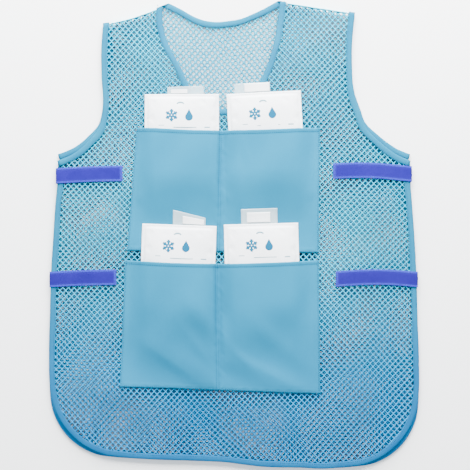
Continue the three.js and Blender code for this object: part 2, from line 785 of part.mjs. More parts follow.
function packPiece(pack) {
  const places = PACK_SHARES.map((u) => PACK_SHARES.map(
    (v) => packPlace(pack, (u * PACK_WIDTH) / 2, (v * PACK_HEIGHT) / 2),
  ));
  const under = (place) => frontLevel(place) + PACK_REST;
  return sheetSolid(places, under, (place) => under(place) + packThickness(pack, place, 0));
}

// The filler sleeve lies at the pack's upper rim, past its weld
function sleevePiece(pack) {
  const width = pack.sleeveWidth * PACK_WIDTH;
  const height = pack.sleeveHeight * PACK_WIDTH;
  const tilt = Math.tan(THREE.MathUtils.degToRad(pack.sleeveTurn - pack.turn));
  const places = [-1, 0, 1].map((u) => [0, 1].map((v) => {
    const across = pack.sleeveShift * PACK_WIDTH + (u * width) / 2;
    const lean = (u * width * tilt) / 2;
    const rise = v * (height + lean) + LAYER_GAP;
    return packPlace(pack, across, PACK_HEIGHT / 2 + rise);
  }));
  const under = (place) => frontLevel(place) + PACK_REST;
  return sheetSolid(places, under, (place) => under(place) + SLEEVE_THICKNESS);
}

// Place across of the side edge at a height along the vest
function sideEdge(side, along) {
  const run = RUNS.back.edge.filter((point) => point.x * side > 0);
  const crossing = run.slice(1).map((end, index) => ({ start: run[index], end }))
    .find(({ start, end }) => (start.y - along) * (end.y - along) <= 0);
  const share = (along - crossing.start.y) / (crossing.end.y - crossing.start.y);
  return crossing.start.clone().lerp(crossing.end, share).x;
}

// A strap runs from the outer face of the back, round the open side and onto the front
function strapPiece(strap) {
  const middle = at(0, UPPER_STRAP_DROP + strap.row * STRAP_SPACING).y;
  const spread = [-0.5, 0, 0.5].map((share) => middle + share * STRAP_WIDTH);
  const reachOut = Math.max(...spread.map((along) => strap.side * sideEdge(strap.side, along)));
  const half = STRAP_THICKNESS / 2;
  const reach = strap.reach * STRAP_FRONT_LENGTH;
  const outside = reachOut + LAYER_GAP + half;
  const frontHeight = (inset) => {
    const across = strap.side * (reachOut - inset);
    const heights = spread.map((along) => frontLevel(new THREE.Vector2(across, along)));
    return Math.max(...heights);
  };
  const overTape = TAPE_REST + LAYER_GAP + half;
  const overNet = CLOTH_REST + half;
  const bend = half;
  const line = [
    { inset: STRAP_BACK_LENGTH, height: half },
    { inset: TAPE_WIDTH, height: half },
    { inset: bend - LAYER_GAP - half, height: half },
    { inset: -LAYER_GAP - half, height: half + bend },
    { inset: -LAYER_GAP - half, height: frontHeight(0) + overTape - bend },
    { inset: bend - LAYER_GAP - half, height: frontHeight(0) + overTape },
    { inset: TAPE_WIDTH + bend, height: frontHeight(TAPE_WIDTH + bend) + overTape },
  ];
  const flat = [0.22, 0.36, 0.5, 0.64, 0.78, 0.9, 1].map((share) => share * reach);
  flat.forEach((inset) => line.push({ inset, height: frontHeight(inset) + overNet }));
  const points = line.map(({ inset, height }) => new THREE.Vector2(
    strap.side * (outside - half - LAYER_GAP - inset),
    height,
  ));
  const steps = inwardSteps(points, null, null);
  const corners = [
    new THREE.Vector2(-half, -STRAP_WIDTH / 2),
    new THREE.Vector2(-half, STRAP_WIDTH / 2),
    new THREE.Vector2(half, STRAP_WIDTH / 2),
    new THREE.Vector2(half, -STRAP_WIDTH / 2),
  ];
  const rings = points.map((point, index) => {
    const share = THREE.MathUtils.clamp(line[index].inset / reach, 0, 1);
    const onFront = index > 4 ? 1 : 0;
    const climb = onFront * STRAP_WIDTH * (strap.slope * share + strap.bow * Math.sin(Math.PI * share));
    return corners.map((corner) => {
      const place = point.clone().addScaledVector(steps[index], corner.x);
      return new THREE.Vector3(place.x, middle + climb + corner.y, place.y);
    });
  });
  return ringSolid(rings, corners);
}

// The front and back nets
function panelSolid(layer, level, cell, shoulderInset) {
  const outline = insetOutline(layerOutline(layer, shoulderInset));
  const columns = Math.ceil(HEM_WIDTH / 2 / cell) + 1;
  const rows = Math.ceil(VEST_LENGTH / 2 / cell) + 1;
  const places = [];
  for (let column = -columns; column <= columns; column += 1) {
    const line = [];
    for (let row = -rows; row <= rows; row += 1) {
      line.push(new THREE.Vector2(column * cell, row * cell));
    }
    places.push(line);
  }
  const slab = sheetSolid(
    places,
    (place) => level(place) - NET_THICKNESS / 2,
    (place) => level(place) + NET_THICKNESS / 2,
  );
  const reach = FRONT_EDGE_LEVEL + FRONT_LOFT + 2 * FOLD_HEIGHT + NET_THICKNESS;
  return solidOf(slab).intersect(solidOf(uprightBlock(outline, -reach, 2 * reach)));
}

// A gap is left out where a tape, a strap or a pocket lies over the net
function gapClear(layer, centre) {
  const runs = RUNS[layer];
  const loop = [...runs.leftArmhole, ...runs.edge, ...runs.rightArmhole, ...runs.neck];
  const room = TAPE_WIDTH + NET_GAP_SIZE / 2 + NET_GAP_MARGIN;
  const edges = [
    runs.leftArmhole, runs.edge, runs.rightArmhole, runs.neck,
    shoulderCurve(-1).getPoints(4), shoulderCurve(1).getPoints(4),
  ];
  if (!inside(centre, loop) || distanceTo(centre, edges) < room) {
    return false;
  }
  const near = NET_GAP_SIZE / 2 + NET_GAP_MARGIN;
  const underStrap = STRAPS.some((strap) => {
    const middle = at(0, UPPER_STRAP_DROP + strap.row * STRAP_SPACING).y;
    const covered = layer === 'back' ? STRAP_BACK_LENGTH : strap.reach * STRAP_FRONT_LENGTH;
    const inset = strap.side * (sideEdge(strap.side, middle) - centre.x);
    return Math.abs(centre.y - middle) < STRAP_WIDTH / 2 + near && inset > 0 && inset < covered + near;
  });
  const underPocket = layer === 'front' && POCKETS.some((pocket) => {
    const left = pocketPlace(pocket, 0, 0);
    const right = pocketPlace(pocket, 1, 1);
    return centre.x > left.x - near && centre.x < right.x + near
      && centre.y > left.y - near && centre.y < right.y + PACK_SHOWING + near;
  });
  return !underStrap && !underPocket;
}

function frontPanel() {
  const shoulderInset = PANEL_INSET + NET_THICKNESS + LAYER_GAP + CLEARANCE;
  const net = panelSolid('front', frontLevel, PANEL_CELL, shoulderInset);
  return geometryOf(cutNetGaps(net, frontLevel, (centre) => gapClear('front', centre)));
}

function backPanel() {
  const net = panelSolid('back', backLevel, 2 * VEST_LENGTH, PANEL_INSET);
  const joined = net.add(shoulderFold(-1)).add(shoulderFold(1));
  return geometryOf(cutNetGaps(joined, backLevel, (centre) => gapClear('back', centre)));
}

// The tapes
function armholeBinding(side) {
  const name = side < 0 ? 'leftArmhole' : 'rightArmhole';
  const tip = shoulderTip(side);
  const cut = shoulderDirection(side, tip, -side);
  const startCut = side < 0 ? cut : null;
  const endCut = side < 0 ? null : cut;
  const front = foldedTape(RUNS.front[name], frontLevel, startCut, endCut);
  const back = foldedTape(RUNS.back[name], backLevel, startCut, endCut);
  const turn = shoulderTurn(tip, tip.clone().addScaledVector(cut, TAPE_WIDTH));
  return geometryOf(front.add(back).add(turn));
}

function neckBinding() {
  const sides = [1, -1];
  const ends = [RUNS.front.neck[0], RUNS.front.neck[RUNS.front.neck.length - 1]];
  const frontCuts = sides.map((side, index) => shoulderDirection(side, ends[index], side));
  const backCuts = sides.map((side) => shoulderDirection(side, backNeckPoint(side), side));
  const front = foldedTape(RUNS.front.neck, frontLevel, frontCuts[0], frontCuts[1]);
  const back = foldedTape(RUNS.back.neck, backLevel, backCuts[0], backCuts[1]);
  const turns = sides.map((side, index) => shoulderTurn(
    backNeckPoint(side),
    ends[index].clone().addScaledVector(frontCuts[index], TAPE_WIDTH),
  ));
  return geometryOf(front.add(back).add(turns[0]).add(turns[1]));
}

// The side and hem tape starts clear of the armhole tape
function edgeBinding(layer, level) {
  const run = RUNS[layer].edge;
  const clear = TAPE_WIDTH + LAYER_GAP;
  const trimmed = run.slice(1, -1);
  const ends = [
    { at: run[0], toward: run[1] },
    { at: run[run.length - 1], toward: run[run.length - 2] },
  ].map((end) => end.at.clone().add(end.toward.clone().sub(end.at).setLength(clear)));
  return geometryOf(foldedTape([ends[0], ...trimmed, ends[1]], level, null, null));
}

const COLOURS = {
  net: { color: 0x8fd0e8, roughness: 0.85, metalness: 0 },
  tape: { color: 0x5f9fd8, roughness: 0.8, metalness: 0 },
  pocket: { color: 0x6cc4e6, roughness: 0.8, metalness: 0 },
  pack: { color: 0xf2f4f6, roughness: 0.55, metalness: 0 },
  sleeve: { color: 0xdfeef5, roughness: 0.3, metalness: 0 },
  strap: { color: 0x5a6ccb, roughness: 0.9, metalness: 0 },
};

const vest = new THREE.Group();

function addPiece(name, geometry, finish) {
  const mesh = new THREE.Mesh(geometry, new THREE.MeshStandardMaterial(COLOURS[finish]));
  mesh.name = name;
  vest.add(mesh);
}

addPiece('front_panel', frontPanel(), 'net');
addPiece('back_panel', backPanel(), 'net');
addPiece('neck_binding', neckBinding(), 'tape');
addPiece('left_armhole_binding', armholeBinding(-1), 'tape');
addPiece('right_armhole_binding', armholeBinding(1), 'tape');
addPiece('front_edge_binding', edgeBinding('front', frontLevel), 'tape');
addPiece('back_edge_binding', edgeBinding('back', backLevel), 'tape');
POCKETS.forEach((pocket) => addPiece(pocket.name, pocketPiece(pocket), 'pocket'));
PACKS.forEach((pack) => addPiece(`${pack.name}_ice_pack`, packPiece(pack), 'pack'));
PACKS.forEach((pack) => addPiece(`${pack.name}_filler_sleeve`, sleevePiece(pack), 'sleeve'));
STRAPS.forEach((strap) => addPiece(`${strap.name}_strap`, strapPiece(strap), 'strap'));

// The origin lies under the middle of the vest, on the surface that it rests on
const box = new THREE.Box3().setFromObject(vest);
const middle = box.getCenter(new THREE.Vector3());
vest.position.set(-middle.x, -middle.y, -box.min.z);

export default vest;
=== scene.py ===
# %% [markdown]
# # A cooling vest of net, laid flat
# The vest is a sleeveless net garment with four ice packs in its pockets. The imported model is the
# frame: every piece made here stands where a solid of that frame stands, in metres. Lengths are
# written in millimetres, because a garment maker measures in them, and turned once at the end.

# %% Load the frame
import math
import bpy
import numpy as np
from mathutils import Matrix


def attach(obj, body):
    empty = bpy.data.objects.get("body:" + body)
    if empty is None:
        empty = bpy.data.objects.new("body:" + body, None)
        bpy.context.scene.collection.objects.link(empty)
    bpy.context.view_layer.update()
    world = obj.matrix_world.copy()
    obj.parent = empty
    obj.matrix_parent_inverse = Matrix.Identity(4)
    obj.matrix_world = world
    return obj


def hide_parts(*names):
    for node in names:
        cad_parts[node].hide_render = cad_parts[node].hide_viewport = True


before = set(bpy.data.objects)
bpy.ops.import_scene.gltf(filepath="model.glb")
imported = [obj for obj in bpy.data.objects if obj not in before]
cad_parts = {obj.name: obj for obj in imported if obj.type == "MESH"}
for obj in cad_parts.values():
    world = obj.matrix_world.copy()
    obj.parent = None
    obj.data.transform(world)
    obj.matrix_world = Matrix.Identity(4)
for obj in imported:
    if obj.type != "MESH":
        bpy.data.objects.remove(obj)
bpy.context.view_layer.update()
MM = 0.001

# %% [markdown]
# ## Sizes
# These are the driving sizes of the pattern, as a cutter would chalk them. The tables give shares of
# them, so a curve keeps its character when a size changes.

# %% Named sizes
VEST_LENGTH = 702.0
CHEST_WIDTH = 530.0
HEM_WIDTH = 555.0
UNDERARM_DROP = 240.0
BACK_UNDERARM_RISE = 10.0
SHOULDER_SPAN = 378.0
SHOULDER_SHIFT = -7.5
SHOULDER_DROPS = {-1: 34.0, 1: 18.0}
LEFT_SHOULDER_DIP = 9.0
NECK_WIDTH = 176.0
NECK_SHIFT = -16.5
FRONT_NECK_DEPTH = 163.0
BACK_NECK_WIDTH = 163.0
BACK_NECK_DEPTH = 31.0
LEFT_NECK_DROP = 3.0
HEM_RISE = 16.5
HEM_CORNER = {"front": 114.0, "back": 99.0}

NET_THICKNESS = 1.0
TAPE_THICKNESS = 1.0
TAPE_WIDTH = 9.0
POCKET_CLOTH = 1.0
CLEARANCE = 0.4
LAYER_GAP = 0.3
STRAP_WIDTH = 23.0
STRAP_THICKNESS = 1.2
TAPE_HALF = NET_THICKNESS / 2 + CLEARANCE + TAPE_THICKNESS
BACK_LEVEL = STRAP_THICKNESS + LAYER_GAP + TAPE_HALF
FRONT_EDGE_LEVEL = BACK_LEVEL + 2 * TAPE_HALF + LAYER_GAP
CLOTH_REST = NET_THICKNESS / 2 + LAYER_GAP + CLEARANCE
PACK_REST = CLOTH_REST + POCKET_CLOTH + CLEARANCE
print("pattern", HEM_WIDTH, "by", VEST_LENGTH, "mm")

# %% Tables of the pattern
ARMHOLE = [  # down, left out, right out
    (0, 0, 0), (0.2, 0.04, -0.05), (0.4, 0.03, -0.05), (0.55, 0, -0.01), (0.68, 0.03, 0.1),
    (0.78, 0.12, 0.2), (0.86, 0.33, 0.41), (0.92, 0.52, 0.6), (0.965, 0.74, 0.78), (1, 1, 1),
]
SIDE = [  # down, left flare, right flare
    (0, 0, 0), (0.1, 0, 0), (0.2, 0.25, 0.2), (0.35, 0.5, 0.5), (0.5, 0.75, 0.7),
    (0.7, 0.9, 0.85), (0.85, 1, 1), (1, 0.95, 1),
]
HEM = [  # across, rise
    (0, 1), (0.15, 0.82), (0.3, 0.73), (0.45, 0.6), (0.55, 0.36),
    (0.65, 0.15), (0.8, 0.09), (0.9, 0), (1, 0.12),
]
FRONT_NECK = [  # down, left half, right half
    (0, 1.03, 0.97), (0.2, 1.03, 0.93), (0.33, 0.98, 0.89), (0.435, 0.9, 0.845), (0.555, 0.78, 0.78),
    (0.66, 0.68, 0.7), (0.78, 0.58, 0.59), (0.9, 0.42, 0.42), (0.977, 0.22, 0.21),
]
BACK_NECK = [  # across, down
    (-0.78, 0.38), (-0.56, 0.71), (-0.34, 0.93), (-0.12, 1), (0.1, 0.95),
    (0.32, 0.85), (0.54, 0.62), (0.76, 0.35),
]
print("marks", sum(len(table) for table in (ARMHOLE, SIDE, HEM, FRONT_NECK, BACK_NECK)))

# %% [markdown]
# ## Outline
# A pattern edge is a smooth curve through a few chalk marks. A Catmull-Rom curve does that: it goes
# through every mark, where a Bezier would need handles. Each run is then stepped evenly, so a tape
# sewn along it gets even sections.

# %% Curves through the marks
CURVE_STEPS = 24


def at(across, drop):
    return np.array([across, VEST_LENGTH / 2 - drop])


def smooth_run(marks, step):
    marks = np.array(marks, dtype=float)
    padded = np.vstack([marks[0], marks, marks[-1]])
    t = np.linspace(0, 1, CURVE_STEPS, endpoint=False)[:, None]
    pieces = []
    for p0, p1, p2, p3 in zip(padded, padded[1:], padded[2:], padded[3:]):
        v0 = (p2 - p0) / 2
        v1 = (p3 - p1) / 2
        cubic = (2 * p1 - 2 * p2 + v0 + v1) * t**3
        square = (-3 * p1 + 3 * p2 - 2 * v0 - v1) * t**2
        pieces.append(cubic + square + v0 * t + p1)
    return even_steps(np.vstack(pieces + [marks[-1:]]), step)


def distance_along(points):
    lengths = np.linalg.norm(np.diff(points, axis=0), axis=1)
    return np.concatenate([[0], np.cumsum(lengths)])


def even_steps(points, step):
    travelled = distance_along(points)
    count = max(4, round(travelled[-1] / step))
    wanted = np.linspace(0, travelled[-1], count + 1)
    return np.column_stack([np.interp(wanted, travelled, points[:, k]) for k in range(2)])


def lerp(a, b, share):
    return a + (b - a) * share


def smooth_step(share):
    t = np.clip(share, 0, 1)
    return t * t * (3 - 2 * t)


def fall_off(distance, start, reach):
    return 1 - smooth_step((distance - start) / reach)


def bell(distance, width):
    return np.exp(-((distance / width) ** 2))


def bent_wave(first, second, reach, bend, bend_reach):
    return np.sin(first / reach + bend * np.sin(second / bend_reach))


def turned(points, angle):
    x, y = points[..., 0], points[..., 1]
    return x * math.cos(angle) + y * math.sin(angle), y * math.cos(angle) - x * math.sin(angle)


print("a run of 100 mm has", len(even_steps(np.array([(0, 0), (100, 0)]), 4.0)), "points")

# %% Shoulders and armholes
FINE_STEP = 4.0
BACK_TUCK = 9.0
TUCK_REACH = 84.0
SHOULDER_STEPS = 41


def shoulder_tip(side):
    return at(SHOULDER_SHIFT + side * SHOULDER_SPAN / 2, SHOULDER_DROPS[side])


def back_neck_point(side):
    return at(NECK_SHIFT + side * BACK_NECK_WIDTH / 2, LEFT_NECK_DROP if side < 0 else 0)


def underarm(side, layer):
    rise = BACK_UNDERARM_RISE if layer == "back" else 0
    return at(side * CHEST_WIDTH / 2, UNDERARM_DROP - rise)


def shoulder_line(side):
    tip, neck = shoulder_tip(side), back_neck_point(side)
    control = (tip + neck) / 2 - np.array([0, LEFT_SHOULDER_DIP if side < 0 else 0])
    t = np.linspace(0, 1, SHOULDER_STEPS)[:, None]
    return (1 - t) ** 2 * tip + 2 * t * (1 - t) * control + t**2 * neck


def on_shoulder(side, across):
    line = shoulder_line(side)
    order = np.argsort(line[:, 0])
    return np.array([across, np.interp(across, line[order, 0], line[order, 1])])


def armhole_run(side, layer):
    tip, end = shoulder_tip(side), underarm(side, layer)
    column = 1 if side < 0 else 2
    marks = [(lerp(tip[0], end[0], row[column]), lerp(tip[1], end[1], row[0])) for row in ARMHOLE]
    run = smooth_run(marks, FINE_STEP)
    if layer == "back" and side < 0:
        down = np.clip((tip[1] - run[:, 1]) / TUCK_REACH, 0, 1)
        run[:, 0] += BACK_TUCK * np.sin(math.pi * down) ** 2
    return run


print("shoulder tips", shoulder_tip(-1).tolist(), shoulder_tip(1).tolist())

# %% The runs of the front and the back
def edge_run(layer):
    corner = HEM_CORNER[layer]
    flare = (HEM_WIDTH - CHEST_WIDTH) / 2

    def side_marks(side):
        top = underarm(side, layer)
        rise = HEM[0][1] if side < 0 else HEM[-1][1]
        foot = at(0, VEST_LENGTH - rise * HEM_RISE - corner)
        column = 1 if side < 0 else 2
        return [(top[0] + side * flare * row[column], lerp(top[1], foot[1], row[0])) for row in SIDE]

    def corner_marks(foot, side):
        angles = [step * math.pi / 10 for step in (1, 2, 3, 4)]
        return [
            (foot[0] - side * corner * (1 - math.cos(a)), foot[1] - corner * math.sin(a)) for a in angles
        ]

    left, right = side_marks(-1), side_marks(1)
    start, end = left[-1][0] + corner, right[-1][0] - corner
    hem = [tuple(at(lerp(start, end, across), VEST_LENGTH - rise * HEM_RISE)) for across, rise in HEM]
    marks = left + corner_marks(left[-1], -1) + hem + corner_marks(right[-1], 1)[::-1] + right[::-1]
    return smooth_run(marks, FINE_STEP)


def neck_run(layer):
    if layer == "back":
        half = BACK_NECK_WIDTH / 2
        rows = [tuple(at(NECK_SHIFT + half * across, down * BACK_NECK_DEPTH)) for across, down in BACK_NECK]
        return smooth_run([back_neck_point(1), *rows[::-1], back_neck_point(-1)], FINE_STEP)
    half = NECK_WIDTH / 2
    right_top = on_shoulder(1, NECK_SHIFT + half * FRONT_NECK[0][2])
    left_top = on_shoulder(-1, NECK_SHIFT - half * FRONT_NECK[0][1])
    right = [at(NECK_SHIFT + half * row[2], row[0] * FRONT_NECK_DEPTH) for row in FRONT_NECK[1:]]
    left = [at(NECK_SHIFT - half * row[1], row[0] * FRONT_NECK_DEPTH) for row in FRONT_NECK[1:]]
    return smooth_run([right_top, *right, at(NECK_SHIFT, FRONT_NECK_DEPTH), *left[::-1], left_top], FINE_STEP)


RUNS = {
    layer: {
        "left_armhole": armhole_run(-1, layer),
        "edge": edge_run(layer),
        "right_armhole": armhole_run(1, layer)[::-1],
        "neck": neck_run(layer),
    }
    for layer in ("front", "back")
}
for layer, runs in RUNS.items():
    print(layer, {name: len(run) for name, run in runs.items()})

# %% [markdown]
# ## How the front lies
# Net has no stiffness of its own. It lies low where it is sewn, rises a little over the hollow for
# the body, and keeps a few soft folds. The height is worked out once on a fine grid and read from
# there, so that every piece on the front agrees about where the cloth is.

# %% Height map of the front
FRONT_LOFT = 5.0
LOFT_START = 12.0
LOFT_RISE = 90.0
FOLD_HEIGHT = 6.0
RIPPLE_HEIGHT = 1.1
MAP_CELL = 4.0
RIPPLE_WAVES = ((17.0, 1.3, 41.0), (29.0, 0.9, 37.0))  # reach, bend, reach of the bend
SPARSE = 4  # every fourth point of a run is near enough for the height map
FOLDS = [  # across, down, turn, reach, spread, height
    (-0.29, 0.13, 35, 0.1, 0.05, 0.4),
    (0.27, 0.16, 100, 0.14, 0.045, 0.45),
    (-0.43, 0.455, 55, 0.1, 0.05, 1),
    (0.42, 0.455, 120, 0.1, 0.05, 1),
    (0.36, 0.74, 92, 0.24, 0.045, 0.7),
    (-0.4, 0.8, 128, 0.14, 0.05, 0.8),
    (-0.27, 0.88, 120, 0.12, 0.045, 0.6),
    (0.13, 0.9, 145, 0.14, 0.05, 0.5),
]


def distance_to(points, runs):
    least = np.full(len(points), np.inf)
    for run in runs:
        start, along = run[:-1], np.diff(run, axis=0)
        for a, d in zip(start, along):
            offset = points - a
            share = np.clip(offset @ d / (d @ d), 0, 1)
            least = np.minimum(least, np.linalg.norm(offset - share[:, None] * d, axis=1))
    return least


def fold_height(rows, points, unit):
    total = np.zeros(len(points))
    for across, down, turn, reach, spread, height in rows:
        offset = points - at(across * CHEST_WIDTH, down * VEST_LENGTH)
        along, beside = turned(offset, math.radians(turn))
        along, beside = along / (reach * CHEST_WIDTH), beside / (spread * CHEST_WIDTH)
        total += unit * height * np.exp(-(along**2) - beside**2)
    return total


def height_map():
    xs = np.arange(-HEM_WIDTH / 2 - 3 * MAP_CELL, HEM_WIDTH / 2 + 4 * MAP_CELL, MAP_CELL)
    ys = np.arange(-VEST_LENGTH / 2 - 3 * MAP_CELL, VEST_LENGTH / 2 + 4 * MAP_CELL, MAP_CELL)
    points = np.stack(np.meshgrid(xs, ys, indexing="ij"), axis=-1).reshape(-1, 2)
    front = RUNS["front"]
    fastened = [front[name][::SPARSE] for name in ("left_armhole", "edge", "right_armhole")]
    fastened += [shoulder_line(side)[:: 2 * SPARSE] for side in (-1, 1)]
    share = smooth_step((distance_to(points, fastened) - LOFT_START) / LOFT_RISE)
    x, y = points.T
    ripple = bent_wave(x, y, *RIPPLE_WAVES[0]) * bent_wave(y, x, *RIPPLE_WAVES[1])
    level = FRONT_EDGE_LEVEL + share * (
        FRONT_LOFT + fold_height(FOLDS, points, FOLD_HEIGHT) + RIPPLE_HEIGHT * ripple
    )
    return xs, ys, level.reshape(len(xs), len(ys))


MAP_X, MAP_Y, MAP_LEVEL = height_map()


def front_level(points):
    points = np.asarray(points, dtype=float).reshape(-1, 2)
    u = np.clip((points[:, 0] - MAP_X[0]) / MAP_CELL, 0, len(MAP_X) - 1.001)
    v = np.clip((points[:, 1] - MAP_Y[0]) / MAP_CELL, 0, len(MAP_Y) - 1.001)
    i, j = u.astype(int), v.astype(int)
    fu, fv = u - i, v - j
    near = lerp(MAP_LEVEL[i, j], MAP_LEVEL[i + 1, j], fu)
    far = lerp(MAP_LEVEL[i, j + 1], MAP_LEVEL[i + 1, j + 1], fu)
    return lerp(near, far, fv)


def back_level(points):
    return np.full(len(np.asarray(points).reshape(-1, 2)), BACK_LEVEL)


print("front rises to", round(float(MAP_LEVEL.max()), 1), "mm")

# %% [markdown]
# ## Mesh helpers
# Three kinds of closed mesh make all but the net and the stitches: a sheet between an under and an
# upper surface, a section swept along a path, and a block over an outline. Faces have to point
# outwards, so a mesh whose signed volume comes out negative is turned over.

# %% Closed meshes
def signed_volume(points, faces):
    total = 0.0
    for face in faces:
        a = points[face[0]]
        for b, c in zip(face[1:], face[2:]):
            total += float(np.dot(a, np.cross(points[b], points[c])))
    return total / 6


def turned_out(points, faces):
    if signed_volume(points, faces) < 0:
        return [tuple(reversed(face)) for face in faces]
    return faces


def new_object(name, data):
    made = bpy.data.objects.new(name, data)
    bpy.context.scene.collection.objects.link(made)
    return made


def new_piece(name, points, faces, material, smooth=True):
    points = np.asarray(points, dtype=float)
    mesh = bpy.data.meshes.new(name)
    mesh.from_pydata((points * MM).tolist(), [], [tuple(int(i) for i in face) for face in faces])
    mesh.polygons.foreach_set("use_smooth", [smooth] * len(mesh.polygons))
    mesh.materials.append(material)
    mesh.update()
    return new_object(name, mesh)


def grid(across, along, counts):
    return np.meshgrid(np.linspace(*across, counts[0]), np.linspace(*along, counts[1]), indexing="ij")


def sheet_mesh(places, under, upper):
    columns, rows = places.shape[:2]
    flat = places.reshape(-1, 2)
    points = np.vstack([np.column_stack([flat, under]), np.column_stack([flat, upper])])
    index = np.arange(columns * rows).reshape(columns, rows)
    a, b, c, d = index[:-1, :-1], index[1:, :-1], index[1:, 1:], index[:-1, 1:]
    count = columns * rows
    top = np.stack([a, b, c, d], -1).reshape(-1, 4) + count
    bottom = np.stack([a, d, c, b], -1).reshape(-1, 4)
    rim = np.concatenate([index[:, 0], index[-1, 1:], index[-2::-1, -1], index[0, -2:0:-1]])
    after = np.roll(rim, -1)
    wall = np.stack([rim, after, after + count, rim + count], -1)
    return points, np.vstack([top, bottom, wall]).tolist()


def swept_mesh(rings):
    count, size = rings.shape[:2]
    index = np.arange(count * size).reshape(count, size)
    a, b = index[:-1], index[1:]
    sides = np.stack([a, np.roll(a, -1, 1), np.roll(b, -1, 1), b], -1).reshape(-1, 4).tolist()
    points = rings.reshape(-1, 3)
    faces = sides + [tuple(index[0][::-1]), tuple(index[-1])]
    return points, turned_out(points, faces)


def block_mesh(outline, bottom, top):
    size = len(outline)
    points = np.vstack([
        np.column_stack([outline, np.broadcast_to(bottom, size)]),
        np.column_stack([outline, np.broadcast_to(top, size)]),
    ])
    faces = [tuple(range(size))[::-1], tuple(range(size, 2 * size))]
    faces += [(i, (i + 1) % size, size + (i + 1) % size, size + i) for i in range(size)]
    return points, turned_out(points, faces)


def joined(parts):
    points, faces, start = [], [], 0
    for part_points, part_faces in parts:
        points.append(np.asarray(part_points))
        faces += [tuple(i + start for i in face) for face in part_faces]
        start += len(part_points)
    return np.vstack(points), faces


UNIT_SQUARE = np.array([(0.0, 0.0), (1.0, 0.0), (1.0, 1.0), (0.0, 1.0)])
print("a unit block holds", signed_volume(*block_mesh(UNIT_SQUARE, 0, 1)))

# %% [markdown]
# ## Materials
# Cloth colour is never flat: the dye takes unevenly, and the colour is painted darker in the
# valleys between the threads, as their shade. Two node groups carry that. A third paints shade
# towards the hem, darker and bluer, standing in for the light that fades away from the neck.
# Each cloth sets its own numbers. All three groups read Object coordinates, so the grain stays
# still on the piece in every view.

# %% Node helpers
def linear(red, green, blue):
    def channel(value):
        share = value / 255
        return share / 12.92 if share <= 0.04045 else ((share + 0.055) / 1.055) ** 2.4

    return channel(red), channel(green), channel(blue)


def feed(tree, socket, value):
    if isinstance(value, bpy.types.NodeSocket):
        tree.links.new(value, socket)
    else:
        socket.default_value = value


def put(tree, kind, **settings):
    node = tree.nodes.new(kind)
    for key, value in settings.items():
        socket = node.inputs.get(key.replace("_", " "))
        if socket is None:
            setattr(node, key, value)
        else:
            feed(tree, socket, value)
    return node


def math_node(tree, operation, first, second=0.0):
    node = put(tree, "ShaderNodeMath", operation=operation)
    feed(tree, node.inputs[0], first)
    feed(tree, node.inputs[1], second)
    return node.outputs[0]


def weighted(tree, first, first_share, second, second_share):
    first_part = math_node(tree, "MULTIPLY", first, first_share)
    return math_node(tree, "ADD", first_part, math_node(tree, "MULTIPLY", second, second_share))


def mix_colours(tree, share, first, second, blend="MIX"):
    node = put(tree, "ShaderNodeMix", data_type="RGBA", blend_type=blend)
    for index, value in ((0, share), (6, first), (7, second)):
        feed(tree, node.inputs[index], value)
    return node.outputs[2]


def new_group(name, inputs, outputs):
    group = bpy.data.node_groups.new(name, "ShaderNodeTree")
    for socket, kind, value in inputs:
        made = group.interface.new_socket(socket, in_out="INPUT", socket_type=kind)
        made.default_value = value
    for socket, kind in outputs:
        group.interface.new_socket(socket, in_out="OUTPUT", socket_type=kind)
    return group, group.nodes.new("NodeGroupInput").outputs, group.nodes.new("NodeGroupOutput").inputs


print("mid grey in linear light", round(linear(128, 128, 128)[0], 3))

# %% Groups of nodes
GREY = (0.5, 0.5, 0.5, 1)
PATCH_SHARE = 0.6
FIBRE_SHARE = 0.4
DYE_FLOOR = 0.32
DYE_CONTRAST = 2.6
# Where the painted hem shade starts and where it is full, along the piece in metres
HEM_SHADE_START = 0.02
HEM_SHADE_FULL = -0.3


def dye_group():
    group, given, result = new_group(
        "uneven_dye",
        [
            ("Colour", "NodeSocketColor", GREY), ("Shade", "NodeSocketColor", GREY),
            ("Patch Scale", "NodeSocketFloat", 18.0), ("Fibre Scale", "NodeSocketFloat", 900.0),
        ],
        [("Colour", "NodeSocketColor"), ("Fibre", "NodeSocketFloat")],
    )
    place = put(group, "ShaderNodeTexCoord").outputs["Object"]
    patch = put(group, "ShaderNodeTexNoise", Vector=place, Scale=given["Patch Scale"], Detail=3.0)
    fibre = put(group, "ShaderNodeTexNoise", Vector=place, Scale=given["Fibre Scale"], Detail=2.0)
    blend = weighted(group, patch.outputs["Fac"], PATCH_SHARE, fibre.outputs["Fac"], FIBRE_SHARE)
    sharper = math_node(group, "MULTIPLY", math_node(group, "SUBTRACT", blend, DYE_FLOOR), DYE_CONTRAST)
    share = put(group, "ShaderNodeClamp", Value=sharper).outputs[0]
    feed(group, result["Colour"], mix_colours(group, share, given["Shade"], given["Colour"]))
    feed(group, result["Fibre"], fibre.outputs["Fac"])
    return group


def weave_group():
    group, given, result = new_group(
        "woven_threads",
        [("Threads", "NodeSocketFloat", 1400.0), ("Turn", "NodeSocketFloat", 0.0)],
        [("Height", "NodeSocketFloat")],
    )
    place = put(group, "ShaderNodeTexCoord").outputs["Object"]
    turned = put(group, "ShaderNodeVectorRotate", Vector=place, Angle=given["Turn"]).outputs[0]
    axes = put(group, "ShaderNodeSeparateXYZ", Vector=turned).outputs
    warp, weft = (
        math_node(group, "SINE", math_node(group, "MULTIPLY", axis, given["Threads"])) for axis in axes[:2]
    )
    product = math_node(group, "MULTIPLY", math_node(group, "MULTIPLY", warp, weft), 0.5)
    feed(group, result["Height"], math_node(group, "ADD", product, 0.5))
    return group
